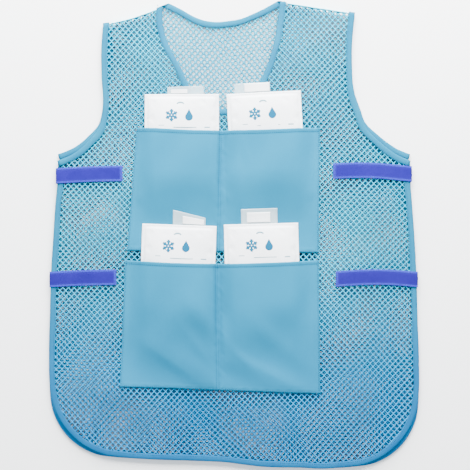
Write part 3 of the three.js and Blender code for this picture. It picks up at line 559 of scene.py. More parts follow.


# Painted shade: lower on the piece the colour is multiplied by a darker, bluer colour, standing in for light
# that fades towards the hem.
def hem_shade_group():
    group, given, result = new_group(
        "painted_hem_shade",
        [("Colour", "NodeSocketColor", GREY), ("Tint", "NodeSocketColor", (1, 1, 1, 1))],
        [("Colour", "NodeSocketColor")],
    )
    place = put(group, "ShaderNodeTexCoord").outputs["Object"]
    share = put(
        group, "ShaderNodeMapRange", interpolation_type="SMOOTHSTEP",
        Value=put(group, "ShaderNodeSeparateXYZ", Vector=place).outputs[1],
        From_Min=HEM_SHADE_START, From_Max=HEM_SHADE_FULL,
    ).outputs[0]
    feed(group, result["Colour"], mix_colours(group, share, given["Colour"], given["Tint"], "MULTIPLY"))
    return group


# HEM holds the painted hem shade group from here on; the outline has used up the hem table of that name.
DYE, WEAVE, HEM = dye_group(), weave_group(), hem_shade_group()
print("node groups", DYE.name, WEAVE.name, HEM.name)

# %% Cloth materials
NO_HEM_SHADE = (1, 1, 1)
CLOTH_GLOSS = 0.08
THREAD_SHADE = 0.35
WEAVE_BUMP = 0.7
BUMP_STRENGTH = 0.6


def new_material(name, roughness, gloss=0.5):
    material = bpy.data.materials.new(name)
    material.use_nodes = True
    shader = material.node_tree.nodes["Principled BSDF"]
    shader.inputs["Roughness"].default_value = roughness
    shader.inputs["Specular IOR Level"].default_value = gloss
    return material, material.node_tree, shader


def dyed(tree, colour, shade, patch):
    return put(
        tree, "ShaderNodeGroup", node_tree=DYE, Colour=(*colour, 1), Shade=(*shade, 1), Patch_Scale=patch
    ).outputs


def cloth_material(name, colour, shade, threads, depth, patch, hem_shade=NO_HEM_SHADE, turn=0.0, roughness=0.85):
    material, tree, shader = new_material(name, roughness, CLOTH_GLOSS)
    dye = dyed(tree, colour, shade, patch)
    woven = put(tree, "ShaderNodeGroup", node_tree=WEAVE, Threads=threads, Turn=turn).outputs["Height"]
    # Painted shade: the colour goes darker in the valleys between the threads.
    lit = math_node(tree, "ADD", math_node(tree, "MULTIPLY", woven, THREAD_SHADE), 1 - THREAD_SHADE)
    cloth = mix_colours(tree, lit, (*shade, 1), dye["Colour"])
    # Painted hem shade over the cloth colour.
    hem = put(tree, "ShaderNodeGroup", node_tree=HEM, Colour=cloth, Tint=(*hem_shade, 1))
    feed(tree, shader.inputs["Base Color"], hem.outputs["Colour"])
    height = weighted(tree, woven, WEAVE_BUMP, dye["Fibre"], 1 - WEAVE_BUMP)
    bump = put(tree, "ShaderNodeBump", Height=height, Strength=BUMP_STRENGTH, Distance=depth)
    feed(tree, shader.inputs["Normal"], bump.outputs["Normal"])
    return material


# A cloth's third colour, where given, is its painted hem shade: what its colour is multiplied by at the hem.
tape_material = cloth_material(
    "edge_tape", (0.0, 0.155, 0.25), (0.0, 0.11, 0.21), 4200, 0.00025, 30, (1, 0.72, 1)
)
pocket_material = cloth_material(
    "pocket_cloth", (0.0, 0.175, 0.3), (0.0, 0.145, 0.255), 7200, 0.00015, 14, (1, 0.9, 0.95), roughness=0.8
)
thread_material = cloth_material("sewing_thread", (0.0, 0.1, 0.2), (0.0, 0.07, 0.15), 9000, 0.0001, 80)
strap_thread_material = cloth_material(
    "strap_thread", (0.05, 0.08, 0.5), (0.03, 0.05, 0.4), 9000, 0.0001, 80
)
print("cloth materials", [material.name for material in bpy.data.materials])

# %% Net and strap materials
def mixed_by_attribute(material, attribute, colour, power=1.0):
    tree = material.node_tree
    base = tree.nodes["Principled BSDF"].inputs["Base Color"]
    before = base.links[0].from_socket
    mask = put(tree, "ShaderNodeAttribute", attribute_name=attribute).outputs["Fac"]
    share = math_node(tree, "POWER", mask, power)
    feed(tree, base, mix_colours(tree, share, before, (*colour, 1)))
    return material


# Both cloths take a painted hem shade too. The net's rim mask paints its strands from their own colour at the
# crests to deep navy at the hole rims: painted shade for the dark inside of the holes and the gap between the
# two layers.
net_material = mixed_by_attribute(
    cloth_material(
        "net_cloth", (0.02, 0.72, 0.92), (0.0, 0.48, 0.7), 5200, 0.0002, 9, (1, 0.58, 0.86), turn=0.78
    ),
    "rim", (0.0, 0.035, 0.12), power=0.6,
)
strap_tape = mixed_by_attribute(
    cloth_material(
        "strap_tape", (0.018, 0.01, 0.2), (0.011, 0.006, 0.145), 3600, 0.0006, 40, (1, 0.8, 0.8),
        roughness=0.95,
    ),
    "selvedge", (0.025, 0.03, 0.33),
)
print("masked materials", net_material.name, strap_tape.name)

# %% Pack and sleeve materials
COAT_ROUGHNESS = 0.3
CREASE_SCALE = 60.0
CREASE_BUMP = 0.35
PRINT_GLOSS = 0.05
SLEEVE_ALPHA = 0.4


def film_material(name, colour, shade, roughness, coat, patch, depth, gloss=0.5):
    material, tree, shader = new_material(name, roughness, gloss)
    shader.inputs["Coat Weight"].default_value = coat
    shader.inputs["Coat Roughness"].default_value = COAT_ROUGHNESS
    feed(tree, shader.inputs["Base Color"], dyed(tree, colour, shade, patch)["Colour"])
    place = put(tree, "ShaderNodeTexCoord").outputs["Object"]
    crease = put(tree, "ShaderNodeTexNoise", Vector=place, Scale=CREASE_SCALE, Detail=4.0, Distortion=0.8)
    bump = put(tree, "ShaderNodeBump", Height=crease.outputs["Fac"], Strength=CREASE_BUMP, Distance=depth)
    feed(tree, shader.inputs["Normal"], bump.outputs["Normal"])
    return material


pack_material = film_material(
    "pack_film", linear(246, 247, 249), linear(232, 236, 241), 0.55, 0.1, 12, 0.001
)
label_material = film_material(
    "sleeve_label", linear(248, 249, 250), linear(238, 241, 244), 0.5, 0.1, 30, 0.0005
)
sleeve_material = film_material(
    "sleeve_film", linear(222, 238, 243), linear(200, 226, 236), 0.25, 0.5, 40, 0.001
)
sleeve_material.node_tree.nodes["Principled BSDF"].inputs["Alpha"].default_value = SLEEVE_ALPHA
print_material = film_material(
    "pack_print", (0, 0.11, 0.2), (0, 0.08, 0.17), 0.7, 0.0, 60, 0.0002, PRINT_GLOSS
)
faint_print_material = film_material(
    "faint_pack_print", (0.12, 0.24, 0.3), (0.08, 0.2, 0.25), 0.6, 0.0, 60, 0.0002, PRINT_GLOSS
)
print("materials", len(bpy.data.materials))

# %% [markdown]
# ## The net
# The cloth is a knitted net of round holes on a diamond lattice. It could be a bump on a sheet, but
# the floor and the back show through it, so it is built: one ring of strands round each hole,
# sharing its four corners with its neighbours, with the strands thickest between the holes.

# %% Net lattice
NET_ACROSS = 8.6
NET_ALONG = 9.1
HOLE_AXIS = 2.5
HOLE_DIAGONAL = 2.1
NET_COVER = 1.2
ROW_WANDER = 3.0
BACK_DRIFT = 0.85
WANDER_WAVES = ((83.0, 0.8, 120.0), (71.0, 0.9, 95.0))  # reach, bend, reach of the bend
BACK_WAVES = ((44.0, 1.2, 61.0), (47.0, 1.5, 80.0))
BACK_SWELLS = ((55.0, 0.8), (57.0, 2.0))  # reach, phase
SPARE_HOLES = 9


def inside(points, loop):
    result = np.zeros(len(points), dtype=bool)
    x, y = points.T
    for (x0, y0), (x1, y1) in zip(loop, np.roll(loop, -1, axis=0)):
        spans = (y0 > y) != (y1 > y)
        if y1 != y0:
            result ^= spans & (x < x0 + (y - y0) / (y1 - y0) * (x1 - x0))
    return result


def shoulder_between(side, start, end):
    line = shoulder_line(side)
    low, high = sorted([start[0], end[0]])
    kept = line[(line[:, 0] > low + 1) & (line[:, 0] < high - 1)]
    return kept[np.argsort(kept[:, 0] * (1 if start[0] < end[0] else -1))]


def layer_loop(layer):
    runs = RUNS[layer]
    return np.vstack([
        runs["left_armhole"], runs["edge"][1:], runs["right_armhole"][1:],
        shoulder_between(1, runs["right_armhole"][-1], runs["neck"][0]),
        runs["neck"], shoulder_between(-1, runs["neck"][-1], runs["left_armhole"][0]),
    ])


def lie(keys, layer):
    x = keys[..., 0] * NET_ACROSS / 2
    y = keys[..., 1] * NET_ALONG / 2
    across = ROW_WANDER * bent_wave(y, x, *WANDER_WAVES[0])
    along = ROW_WANDER * bent_wave(x, y, *WANDER_WAVES[1])
    if layer == "back":
        swells = [np.sin(way / reach + phase) for way, (reach, phase) in zip((y, x), BACK_SWELLS)]
        drift = BACK_DRIFT * bent_wave(x, y, *BACK_WAVES[0]) * swells[0]
        slip = BACK_DRIFT * swells[1] * bent_wave(y, x, *BACK_WAVES[1])
        across = across + NET_ACROSS / 2 * (1 + drift)
        along = along + NET_ALONG / 2 * slip
    return np.stack([x + across, y + along], -1)


def hole_keys(layer):
    columns = int(HEM_WIDTH / NET_ACROSS) + SPARE_HOLES
    rows = int(VEST_LENGTH / NET_ALONG) + SPARE_HOLES
    m, n = np.meshgrid(np.arange(-columns, columns + 1), np.arange(-rows, rows + 1), indexing="ij")
    keys = np.column_stack([m.ravel(), n.ravel()])
    keys = keys[(keys.sum(axis=1) % 2) == 0]
    centres, loop = lie(keys, layer), layer_loop(layer)
    kept = inside(centres, loop) | inside(centres - [0, 0.4 * NET_ALONG], loop)
    kept &= distance_to(centres, RUNS[layer].values()) > max(NET_ACROSS, NET_ALONG) / 2 + NET_COVER
    return keys[kept]


HOLES = {layer: hole_keys(layer) for layer in RUNS}
print("holes", {layer: len(keys) for layer, keys in HOLES.items()})

# %% Mesh of a net
STRAND_HALF = 0.8
SHOULDER_START = 12.0


def under_shoulder(places, inset):
    for side in (-1, 1):
        reach = places[:, 0] * side > NECK_SHIFT * side + BACK_NECK_WIDTH / 2 - SHOULDER_START
        top = on_shoulder(side, places[:, 0])[1] - inset
        places[:, 1] = np.where(reach, np.minimum(places[:, 1], top), places[:, 1])
    return places


def ring_faces(corner_index, rim_index, count):
    faces = []
    for q in range(4):
        o0, o1 = corner_index[:, q], corner_index[:, (q + 1) % 4]
        low0, low1 = o0 + count, o1 + count
        r0, r1, r2 = (rim_index[:, (2 * q + step) % 8] for step in range(3))
        faces += [(r0, o0, r1), (o0, o1, r1), (r1, o1, r2), (r1, low0, r0), (r1, low1, low0), (r2, low1, r1)]
    return faces


def border_faces(corner_index, count):
    starts, ends = corner_index.ravel(), np.roll(corner_index, -1, axis=1).ravel()
    pair = np.sort(np.column_stack([starts, ends]), axis=1)
    _, where, times = np.unique(pair, axis=0, return_index=True, return_counts=True)
    a, b = starts[where[times == 1]], ends[where[times == 1]]
    return [(b, a, a + count), (b, a + count, b + count)]


def net_mesh(layer, level, inset):
    keys = HOLES[layer]
    corner_keys = (keys[:, None, :] + [(1, 0), (0, 1), (-1, 0), (0, -1)]).reshape(-1, 2)
    unique, corner_index = np.unique(corner_keys, axis=0, return_inverse=True)
    corner_index = corner_index.reshape(-1, 4)
    angles, radii = np.arange(8) * math.pi / 4, np.array([HOLE_AXIS, HOLE_DIAGONAL] * 4)
    outline = np.stack([np.cos(angles) * radii, np.sin(angles) * radii], -1)
    rim = under_shoulder((lie(keys, layer)[:, None, :] + outline).reshape(-1, 2), inset)
    corners = under_shoulder(lie(unique, layer), inset)
    count = len(corners)
    points = np.vstack([
        np.column_stack([corners, level(corners) + STRAND_HALF]),
        np.column_stack([corners, level(corners) - STRAND_HALF]),
        np.column_stack([rim, level(rim)]),
    ])
    rim_index = 2 * count + np.arange(len(rim)).reshape(-1, 8)
    faces = ring_faces(corner_index, rim_index, count) + border_faces(corner_index, count)
    faces = np.vstack([np.stack(corner, -1) for corner in faces]).tolist()
    area = len(keys) * (NET_ACROSS * NET_ALONG / 2 - 2 * math.sqrt(2) * HOLE_AXIS * HOLE_DIAGONAL)
    # The third value is the mask for the painted rim shade: 0 at the strand corners, 1 at the hole rims.
    return points, faces, np.concatenate([np.zeros(2 * count), np.ones(len(rim))]), area * MM * MM


print("a strand is", 2 * STRAND_HALF, "mm thick")

# %% Front and back nets
SHOULDER_INSET = {
    "front": TAPE_THICKNESS + NET_THICKNESS + 2 * CLEARANCE + LAYER_GAP,
    "back": TAPE_THICKNESS + CLEARANCE,
}


def shoulder_fold(side):
    line = shoulder_line(side)
    inner = RUNS["front"]["neck"][0 if side > 0 else -1]
    free = np.abs(line[:, 0] - shoulder_tip(side)[0]) > TAPE_WIDTH + 1
    free &= np.abs(line[:, 0] - inner[0]) > TAPE_WIDTH + 1
    free &= (inner[0] - line[:, 0]) * side < 0
    outer = line[free] - [0, SHOULDER_INSET["back"]]
    strip = np.vstack([outer, (outer - [0, NET_THICKNESS])[::-1]])
    return block_mesh(strip, BACK_LEVEL - NET_THICKNESS / 2, FRONT_EDGE_LEVEL + NET_THICKNESS / 2)


def point_mask(piece, name, values):
    mask = piece.data.attributes.new(name, "FLOAT", "POINT")
    full = np.zeros(len(piece.data.vertices))
    full[: len(values)] = values
    mask.data.foreach_set("value", full)


# Each net carries the rim mask that paints shade towards its holes.
front_points, front_faces, front_rim_shade, front_area = net_mesh("front", front_level, SHOULDER_INSET["front"])
front_net = new_piece("front_net", front_points, front_faces, net_material)
point_mask(front_net, "rim", front_rim_shade)
back_points, back_faces, back_rim_shade, back_area = net_mesh("back", back_level, SHOULDER_INSET["back"])
back_points, back_faces = joined([(back_points, back_faces), shoulder_fold(-1), shoulder_fold(1)])
back_net = new_piece("back_net", back_points, back_faces, net_material)
point_mask(back_net, "rim", back_rim_shade)
print("net triangles", len(front_faces), len(back_faces))

# %% [markdown]
# ## Edge tapes
# Every raw edge of the net is bound with a woven tape folded over it. A section of the folded tape
# is swept along each edge run, a little wider here and narrower there, as sewing leaves it. The
# section follows the slope of the cloth that it grips. At the shoulders a small block turns the
# tape over from the front to the back.

# %% Folded tape
TAPE_SECTION = np.array([
    (9.0, -1.45), (8.5, -1.75), (5.0, -1.9), (1.8, -1.86), (0.5, -1.25), (0.0, 0.0), (0.5, 1.25),
    (1.8, 1.86), (5.0, 1.9), (8.5, 1.75), (9.0, 1.45), (8.8, 0.85), (1.5, 0.8), (1.1, 0.0),
    (1.5, -0.8), (8.8, -0.85),
])
TAPE_WAVES = ((0.35, 19.0, 1), (0.2, 7.3, 2))  # height, reach, phase
TAPE_EASE = 20.0
TURN_INSET = 0.2


def inward_steps(run, start_cut=None, end_cut=None):
    leaving = np.vstack([np.diff(run, axis=0), run[-1:] - run[-2:-1]])
    leaving /= np.linalg.norm(leaving, axis=1)[:, None]
    arriving = np.vstack([leaving[:1], leaving[:-1]])
    along = leaving + arriving
    along /= np.linalg.norm(along, axis=1)[:, None]
    inward = np.column_stack([-along[:, 1], along[:, 0]])
    inward /= np.maximum(0.5, np.sum(leaving * along, axis=1))[:, None]
    for index, cut in ((0, start_cut), (-1, end_cut)):
        if cut is not None:
            inward[index] = cut / float(cut @ inward[index])
    return inward


def shoulder_direction(side, start, sign):
    ahead = on_shoulder(side, start[0] + sign * TAPE_WIDTH) - start
    return ahead / np.linalg.norm(ahead)


def folded_tape(run, level, start_cut=None, end_cut=None, phase=0.0):
    steps = inward_steps(run, start_cut, end_cut)
    inner = run + steps * TAPE_WIDTH
    height = level(run)
    slope = (level(inner) - height) / TAPE_WIDTH
    travelled = np.arange(len(run)) * FINE_STEP
    wave = sum(size * np.sin(travelled / reach + turn * phase) for size, reach, turn in TAPE_WAVES)
    fade = np.minimum(1, np.minimum(travelled, travelled[::-1]) / TAPE_EASE)
    rings = []
    for point, step, z, lean, shift in zip(run, steps, height, slope, wave * fade):
        across = TAPE_SECTION[:, 0] + shift * (TAPE_SECTION[:, 0] / TAPE_WIDTH)
        places = point + across[:, None] * step
        rings.append(np.column_stack([places, z + lean * across + TAPE_SECTION[:, 1]]))
    return swept_mesh(np.array(rings))


def shoulder_turn(places, levels):
    along = (places[-1] - places[0]) / np.linalg.norm(places[-1] - places[0])
    inward = np.array([along[1], -along[0]])
    inward *= -TAPE_THICKNESS if inward[1] > 0 else TAPE_THICKNESS
    outline = np.array([*places, *(place + inward for place in places[::-1])])
    tops = np.array([*levels, *levels[::-1]]) + TAPE_HALF - TURN_INSET
    return block_mesh(outline, BACK_LEVEL - TAPE_HALF + TURN_INSET, tops)


print("tape is", 2 * TAPE_HALF, "mm thick when folded")

# %% Tapes of the neck, the armholes and the edges
def armhole_binding(side):
    name = "left_armhole" if side < 0 else "right_armhole"
    tip = shoulder_tip(side)
    cut = shoulder_direction(side, tip, -side)
    cuts = (cut, None) if side < 0 else (None, cut)
    parts = [
        folded_tape(RUNS["front"][name], front_level, *cuts, phase=side),
        folded_tape(RUNS["back"][name], back_level, *cuts, phase=1 + side),
        shoulder_turn([tip, tip + cut * TAPE_WIDTH], [FRONT_EDGE_LEVEL, FRONT_EDGE_LEVEL]),
    ]
    return new_piece(name + "_tape", *joined(parts), tape_material)


def neck_binding():
    ends = {1: RUNS["front"]["neck"][0], -1: RUNS["front"]["neck"][-1]}
    front_cuts = {side: shoulder_direction(side, ends[side], side) for side in (1, -1)}
    back_cuts = {side: shoulder_direction(side, back_neck_point(side), side) for side in (1, -1)}
    parts = [
        folded_tape(RUNS["front"]["neck"], front_level, front_cuts[1], front_cuts[-1], phase=0.4),
        folded_tape(RUNS["back"]["neck"], back_level, back_cuts[1], back_cuts[-1], phase=2.1),
    ]
    for side in (1, -1):
        places = [back_neck_point(side), ends[side], ends[side] + front_cuts[side] * TAPE_WIDTH]
        parts.append(shoulder_turn(places, [BACK_LEVEL, FRONT_EDGE_LEVEL, FRONT_EDGE_LEVEL]))
    return new_piece("neck_tape", *joined(parts), tape_material)


def edge_binding(layer, level):
    run = RUNS[layer]["edge"]
    clear = TAPE_WIDTH + LAYER_GAP
    travelled = distance_along(run)
    kept = run[(travelled > clear) & (travelled < travelled[-1] - clear)]
    return new_piece(layer + "_edge_tape", *folded_tape(kept, level, phase=1.7), tape_material), kept


neck_tape = neck_binding()
armhole_tapes = {side: armhole_binding(side) for side in (-1, 1)}
front_edge_tape, front_edge_path = edge_binding("front", front_level)
back_edge_tape, back_edge_path = edge_binding("back", back_level)
print("tape faces", len(front_edge_tape.data.polygons))

# %% [markdown]
# ## Stitches
# A row of stitches is the clearest case for Geometry Nodes: one short bead of thread, repeated at an
# even pitch along a path. The tree takes a path, steps it, lays a bead along the path at each step,
# and makes them real, so that one small function sews every seam of the vest.

# %% Geometry Nodes for a row of stitches
STITCH_SOCKETS = [  # name, in or out, kind, default
    ("Path", "INPUT", "NodeSocketGeometry", None),
    ("Pitch", "INPUT", "NodeSocketFloat", 0.0032),
    ("Length", "INPUT", "NodeSocketFloat", 0.0022),
    ("Thickness", "INPUT", "NodeSocketFloat", 0.0007),
    ("Thread", "INPUT", "NodeSocketMaterial", None),
    ("Stitches", "OUTPUT", "NodeSocketGeometry", None),
]


def stitch_tree():
    tree = bpy.data.node_groups.new("stitch_row", "GeometryNodeTree")
    for name, way, kind, value in STITCH_SOCKETS:
        socket = tree.interface.new_socket(name, in_out=way, socket_type=kind)
        if value is not None:
            socket.default_value = value
    given = put(tree, "NodeGroupInput").outputs
    path = put(tree, "GeometryNodeMeshToCurve", Mesh=given["Path"]).outputs["Curve"]
    steps = put(tree, "GeometryNodeResampleCurve", mode="LENGTH", Curve=path, Length=given["Pitch"])
    tangent = put(tree, "GeometryNodeInputTangent").outputs["Tangent"]
    turn = put(tree, "FunctionNodeAlignRotationToVector", axis="X", Vector=tangent)
    bead = put(tree, "GeometryNodeMeshIcoSphere", Radius=0.5, Subdivisions=1)
    thickness = given["Thickness"]
    size = put(tree, "ShaderNodeCombineXYZ", X=given["Length"], Y=thickness, Z=thickness)
    rows = put(
        tree, "GeometryNodeInstanceOnPoints", Points=steps.outputs["Curve"], Instance=bead.outputs["Mesh"],
        Rotation=turn.outputs["Rotation"], Scale=size.outputs["Vector"],
    )
    real = put(tree, "GeometryNodeRealizeInstances", Geometry=rows.outputs["Instances"])
    thread = put(
        tree, "GeometryNodeSetMaterial", Geometry=real.outputs["Geometry"], Material=given["Thread"]
    )
    feed(tree, put(tree, "NodeGroupOutput").inputs["Stitches"], thread.outputs["Geometry"])
    return tree


STITCH_TREE = stitch_tree()
print("stitch tree has", len(STITCH_TREE.nodes), "nodes")

# %% Sewing
def sew(name, paths, material, pitch=3.2, length=2.3, thickness=0.75):
    points, edges = [], []
    for path in paths:
        start = len(points)
        points += (np.asarray(path) * MM).tolist()
        edges += [(start + i, start + i + 1) for i in range(len(path) - 1)]
    mesh = bpy.data.meshes.new(name + "_path")
    mesh.from_pydata(points, edges, [])
    guide = new_object(name + "_path", mesh)
    modifier = guide.modifiers.new("stitches", "NODES")
    modifier.node_group = STITCH_TREE
    sockets = {item.name: item.identifier for item in STITCH_TREE.interface.items_tree}
    for socket, value in (("Pitch", pitch), ("Length", length), ("Thickness", thickness)):
        modifier[sockets[socket]] = value * MM
    modifier[sockets["Thread"]] = material
    bpy.context.view_layer.update()
    evaluated = guide.evaluated_get(bpy.context.evaluated_depsgraph_get())
    result = bpy.data.meshes.new_from_object(evaluated)
    result.name = name
    if not result.materials:
        result.materials.append(material)
    guide.modifiers.clear()
    bpy.data.objects.remove(guide)
    print(name, "has", len(result.polygons), "faces")
    return new_object(name, result)


# %% Stitches of the tapes
TAPE_STITCH_IN = 7.2
STITCH_SINK = 0.05


def tape_stitches(run, level):
    steps = inward_steps(run)
    slope = (level(run + steps * TAPE_WIDTH) - level(run)) / TAPE_WIDTH
    places, height = run + steps * TAPE_STITCH_IN, level(run) + slope * TAPE_STITCH_IN
    lift = TAPE_HALF - STITCH_SINK
    return [np.column_stack([places, height + lift]), np.column_stack([places, height - lift])]


tape_stitch_rows = []
for level, edge_path, runs in (
    (front_level, front_edge_path, RUNS["front"]), (back_level, back_edge_path, RUNS["back"])
):
    for run in (edge_path, runs["left_armhole"], runs["right_armhole"], runs["neck"]):
        tape_stitch_rows += tape_stitches(run, level)
tape_seams = sew("tape_stitches", tape_stitch_rows, thread_material)

# %% [markdown]
# ## Pockets
# Each pocket piece is plain woven cloth with a hem along its mouth and a double row of stitches down
# its middle, which makes it two pockets. It stands up over its packs and lies in slack folds below
# them. A fine grid of points carries all of that as heights.

# %% Pocket and pack tables
UPPER_POCKET_DROP = 191.0
UPPER_POCKET_WIDTH = 280.0
UPPER_POCKET_HEIGHT = 185.0
LOWER_POCKET_WIDTH = 294.0
LOWER_POCKET_HEIGHT = 194.0
POCKET_SPACING = 13.0
LOWER_POCKET_DROP = UPPER_POCKET_DROP + UPPER_POCKET_HEIGHT + POCKET_SPACING
POCKET_DIP = 5.0
POCKET_EASE = 0.8
POCKET_SLACK = 3.2
PACK_WIDTH = 111.0
PACK_HEIGHT = 150.0
PACK_THICKNESS = 8.0
PACK_RIM = 1.0
PACK_SHOWING = 58.0
POCKETS = [
    dict(
        name="upper_pocket", drop=UPPER_POCKET_DROP, width=UPPER_POCKET_WIDTH, height=UPPER_POCKET_HEIGHT,
        lean=3.0, fall=84.0, top=(-0.52, -0.065, 0.458), bottom=(-0.569, -0.077, 0.451),
    ),
    dict(
        name="lower_pocket", drop=LOWER_POCKET_DROP, width=LOWER_POCKET_WIDTH, height=LOWER_POCKET_HEIGHT,
        lean=11.0, fall=116.0, top=(-0.553, -0.084, 0.43), bottom=(-0.578, -0.076, 0.437),
    ),
]
PACKS = [
    dict(name="upper_left", pocket=0, half=-1, shift=0.036, showing=0.92, turn=0.0,
         sleeve=(0.05, 0.49, 0.1, 2.0)),
    dict(name="upper_right", pocket=0, half=1, shift=-0.062, showing=0.97, turn=3.0,
         sleeve=(-0.15, 0.48, 0.13, 3.0)),
    dict(name="lower_left", pocket=1, half=-1, shift=0.086, showing=0.97, turn=-2.0,
         sleeve=(0.13, 0.44, 0.15, -14.0)),
    dict(name="lower_right", pocket=1, half=1, shift=-0.078, showing=1.0, turn=1.5,
         sleeve=(-0.02, 0.49, 0.2, 2.0)),
]
POCKET_FOLDS = [  # across, down, turn, reach, spread, height
    (-0.03, 0.36, 120, 0.08, 0.03, 0.35),
    (-0.07, 0.69, 132, 0.09, 0.032, 0.9),
    (-0.14, 0.775, 150, 0.13, 0.035, 1),
    (0.06, 0.79, 158, 0.14, 0.032, 0.9),
    (0.12, 0.73, 140, 0.1, 0.03, 0.6),
]
POCKET_CREASES = [  # across, down, turn, reach, spread, height
    (0.0, 0.37, 68, 0.07, 0.014, 0.22),
    (0.025, 0.31, 108, 0.06, 0.012, 0.14),
    (-0.045, 0.69, 108, 0.07, 0.012, 0.2),
    (-0.02, 0.74, 84, 0.07, 0.012, 0.2),
    (-0.1, 0.74, 128, 0.08, 0.014, 0.2),
    (-0.17, 0.775, 145, 0.09, 0.014, 0.2),
    (0.02, 0.76, 135, 0.06, 0.013, 0.2),
    (0.09, 0.79, 152, 0.1, 0.014, 0.2),
]
print("pockets", [pocket["name"] for pocket in POCKETS], "packs", len(PACKS))


# %% Pocket shape
BESIDE_FALL = 16.0
BELOW_FALL = 25.0
SNUG_EDGE = 0.1
TENT_HEIGHT = 11.0
TENT_CORE = 40.0
TENT_SIDE_FALL = 34.0
TENT_BLEND = 6


def packs_in(pocket):
    return [pack for pack in PACKS if POCKETS[pack["pocket"]] is pocket]


def three_way(u, row):
    return np.where(u < 0.5, lerp(row[0], row[1], u / 0.5), lerp(row[1], row[2], (u - 0.5) / 0.5))


def pocket_places(pocket, u, v):
    x = lerp(three_way(u, pocket["bottom"]), three_way(u, pocket["top"]), v) * pocket["width"]
    dip = POCKET_DIP * np.sin(math.pi * u) * v
    lean = pocket["lean"] * (u - 0.5) * (1 - v)
    y = VEST_LENGTH / 2 - (pocket["drop"] + pocket["height"] * (1 - v) + dip + lean)
    return np.stack([x, y], -1)


def pack_frame(pack):
    middle = 0.25 if pack["half"] < 0 else 0.75
    mouth = pocket_places(POCKETS[pack["pocket"]], np.array(middle), np.array(1.0))
    centre = mouth + [pack["shift"] * PACK_WIDTH, pack["showing"] * PACK_SHOWING - PACK_HEIGHT / 2]
    return centre, math.radians(pack["turn"])


def pack_local(pack, points):
    centre, turn = pack_frame(pack)
    return turned(points - centre, turn)


def pack_place(pack, across, along):
    centre, turn = pack_frame(pack)
    return np.stack(turned(np.stack([across, along], -1), -turn), -1) + centre


def pack_thickness(pack, points, margin):
    x, y = pack_local(pack, points)
    across = np.minimum(1, np.abs(x) / (PACK_WIDTH / 2 + margin))
    along = np.minimum(1, np.abs(y) / (PACK_HEIGHT / 2 + margin))
    return PACK_RIM + (PACK_THICKNESS - PACK_RIM) * (1 - across**4) * (1 - along**4)


def pocket_rise(pocket, points):
    rise = np.zeros(len(points))
    for pack in packs_in(pocket):
        x, y = pack_local(pack, points)
        beside = np.maximum(np.abs(x) - PACK_WIDTH / 2, 0) / BESIDE_FALL
        below = np.maximum(np.abs(y) - PACK_HEIGHT / 2, 0) / BELOW_FALL
        over = PACK_REST - CLOTH_REST + pack_thickness(pack, points, POCKET_SPACING / 3) + POCKET_EASE
        snug = over * fall_off(np.hypot(beside, below), SNUG_EDGE, 1)
        tent = TENT_HEIGHT * fall_off(np.abs(y), TENT_CORE, pocket["fall"])
        tent *= fall_off(np.abs(x), TENT_CORE, TENT_SIDE_FALL)
        rise = np.maximum(rise, (snug**TENT_BLEND + tent**TENT_BLEND) ** (1 / TENT_BLEND))
    return rise


print("packs stand at", [np.round(pack_frame(pack)[0], 1).tolist() for pack in PACKS])

# %% Pocket heights
GRID_STEP = 1.7
HELD_AT_SEAM = 0.2
SEAM_RISE = 0.35
SEAM_EASE = 7.0
HEM_DEPTH = 6.0
HEM_PROUD = 0.55
TURN_PROUD = 0.3
HEM_STEP = 0.8
SIDE_STITCH_IN = 2.2
SEAM_ROWS = ((-3.8, 0.3), (0.6, 0.55))  # beside the middle, depth
SEAM_WIDTH = 1.4
GATHER_HEIGHT = 0.13
GATHER_PITCHES = (13.0, 22.0, 37.0)
GATHER_START = 4.0
GATHER_REACH = 9.0
STITCH_GROOVE = 0.55
GROOVE_WIDTH = 1.1
PUCKER = 0.5
PUCKER_REACH = 2.6


def groove(distance, depth=STITCH_GROOVE, width=GROOVE_WIDTH):
    return -depth * bell(distance, width)


def pocket_reach(pocket, u, v):
    width, height = pocket["width"], pocket["height"]
    return {
        "side": np.minimum(u, 1 - u) * width, "seam": np.abs(u - 0.5) * width,
        "beside": (u - 0.5) * width, "across": u * width,
        "bottom": v * height, "mouth": (1 - v) * height,
    }


def pocket_under(pocket, flat, reach):
    to_seam = np.minimum(reach["side"], reach["seam"])
    held = smooth_step(np.minimum(to_seam, reach["bottom"]) / POCKET_SPACING + HELD_AT_SEAM)
    slack = fold_height(POCKET_FOLDS, flat, POCKET_SLACK) + fold_height(POCKET_CREASES, flat, POCKET_SLACK)
    lifted = SEAM_RISE + (1 - SEAM_RISE) * smooth_step(to_seam / SEAM_EASE)
    level = front_level(flat)
    under = level + CLOTH_REST + pocket_rise(pocket, flat) * lifted + slack * held
    for pack in packs_in(pocket):
        x, y = pack_local(pack, flat)
        on_pack = (np.abs(x) < PACK_WIDTH / 2 + 1) & (np.abs(y) < PACK_HEIGHT / 2 + 1)
        top = level + PACK_REST + pack_thickness(pack, flat, 0) + LAYER_GAP
        under = np.where(on_pack, np.maximum(under, top), under)
    wave = 2 * math.pi * (reach["bottom"] + reach["beside"])
    gather = sum(1 + np.sin(wave / pitch) for pitch in GATHER_PITCHES)
    near = smooth_step(reach["seam"] / GATHER_START) * bell(reach["seam"], GATHER_REACH)
    return under + GATHER_HEIGHT * gather * near


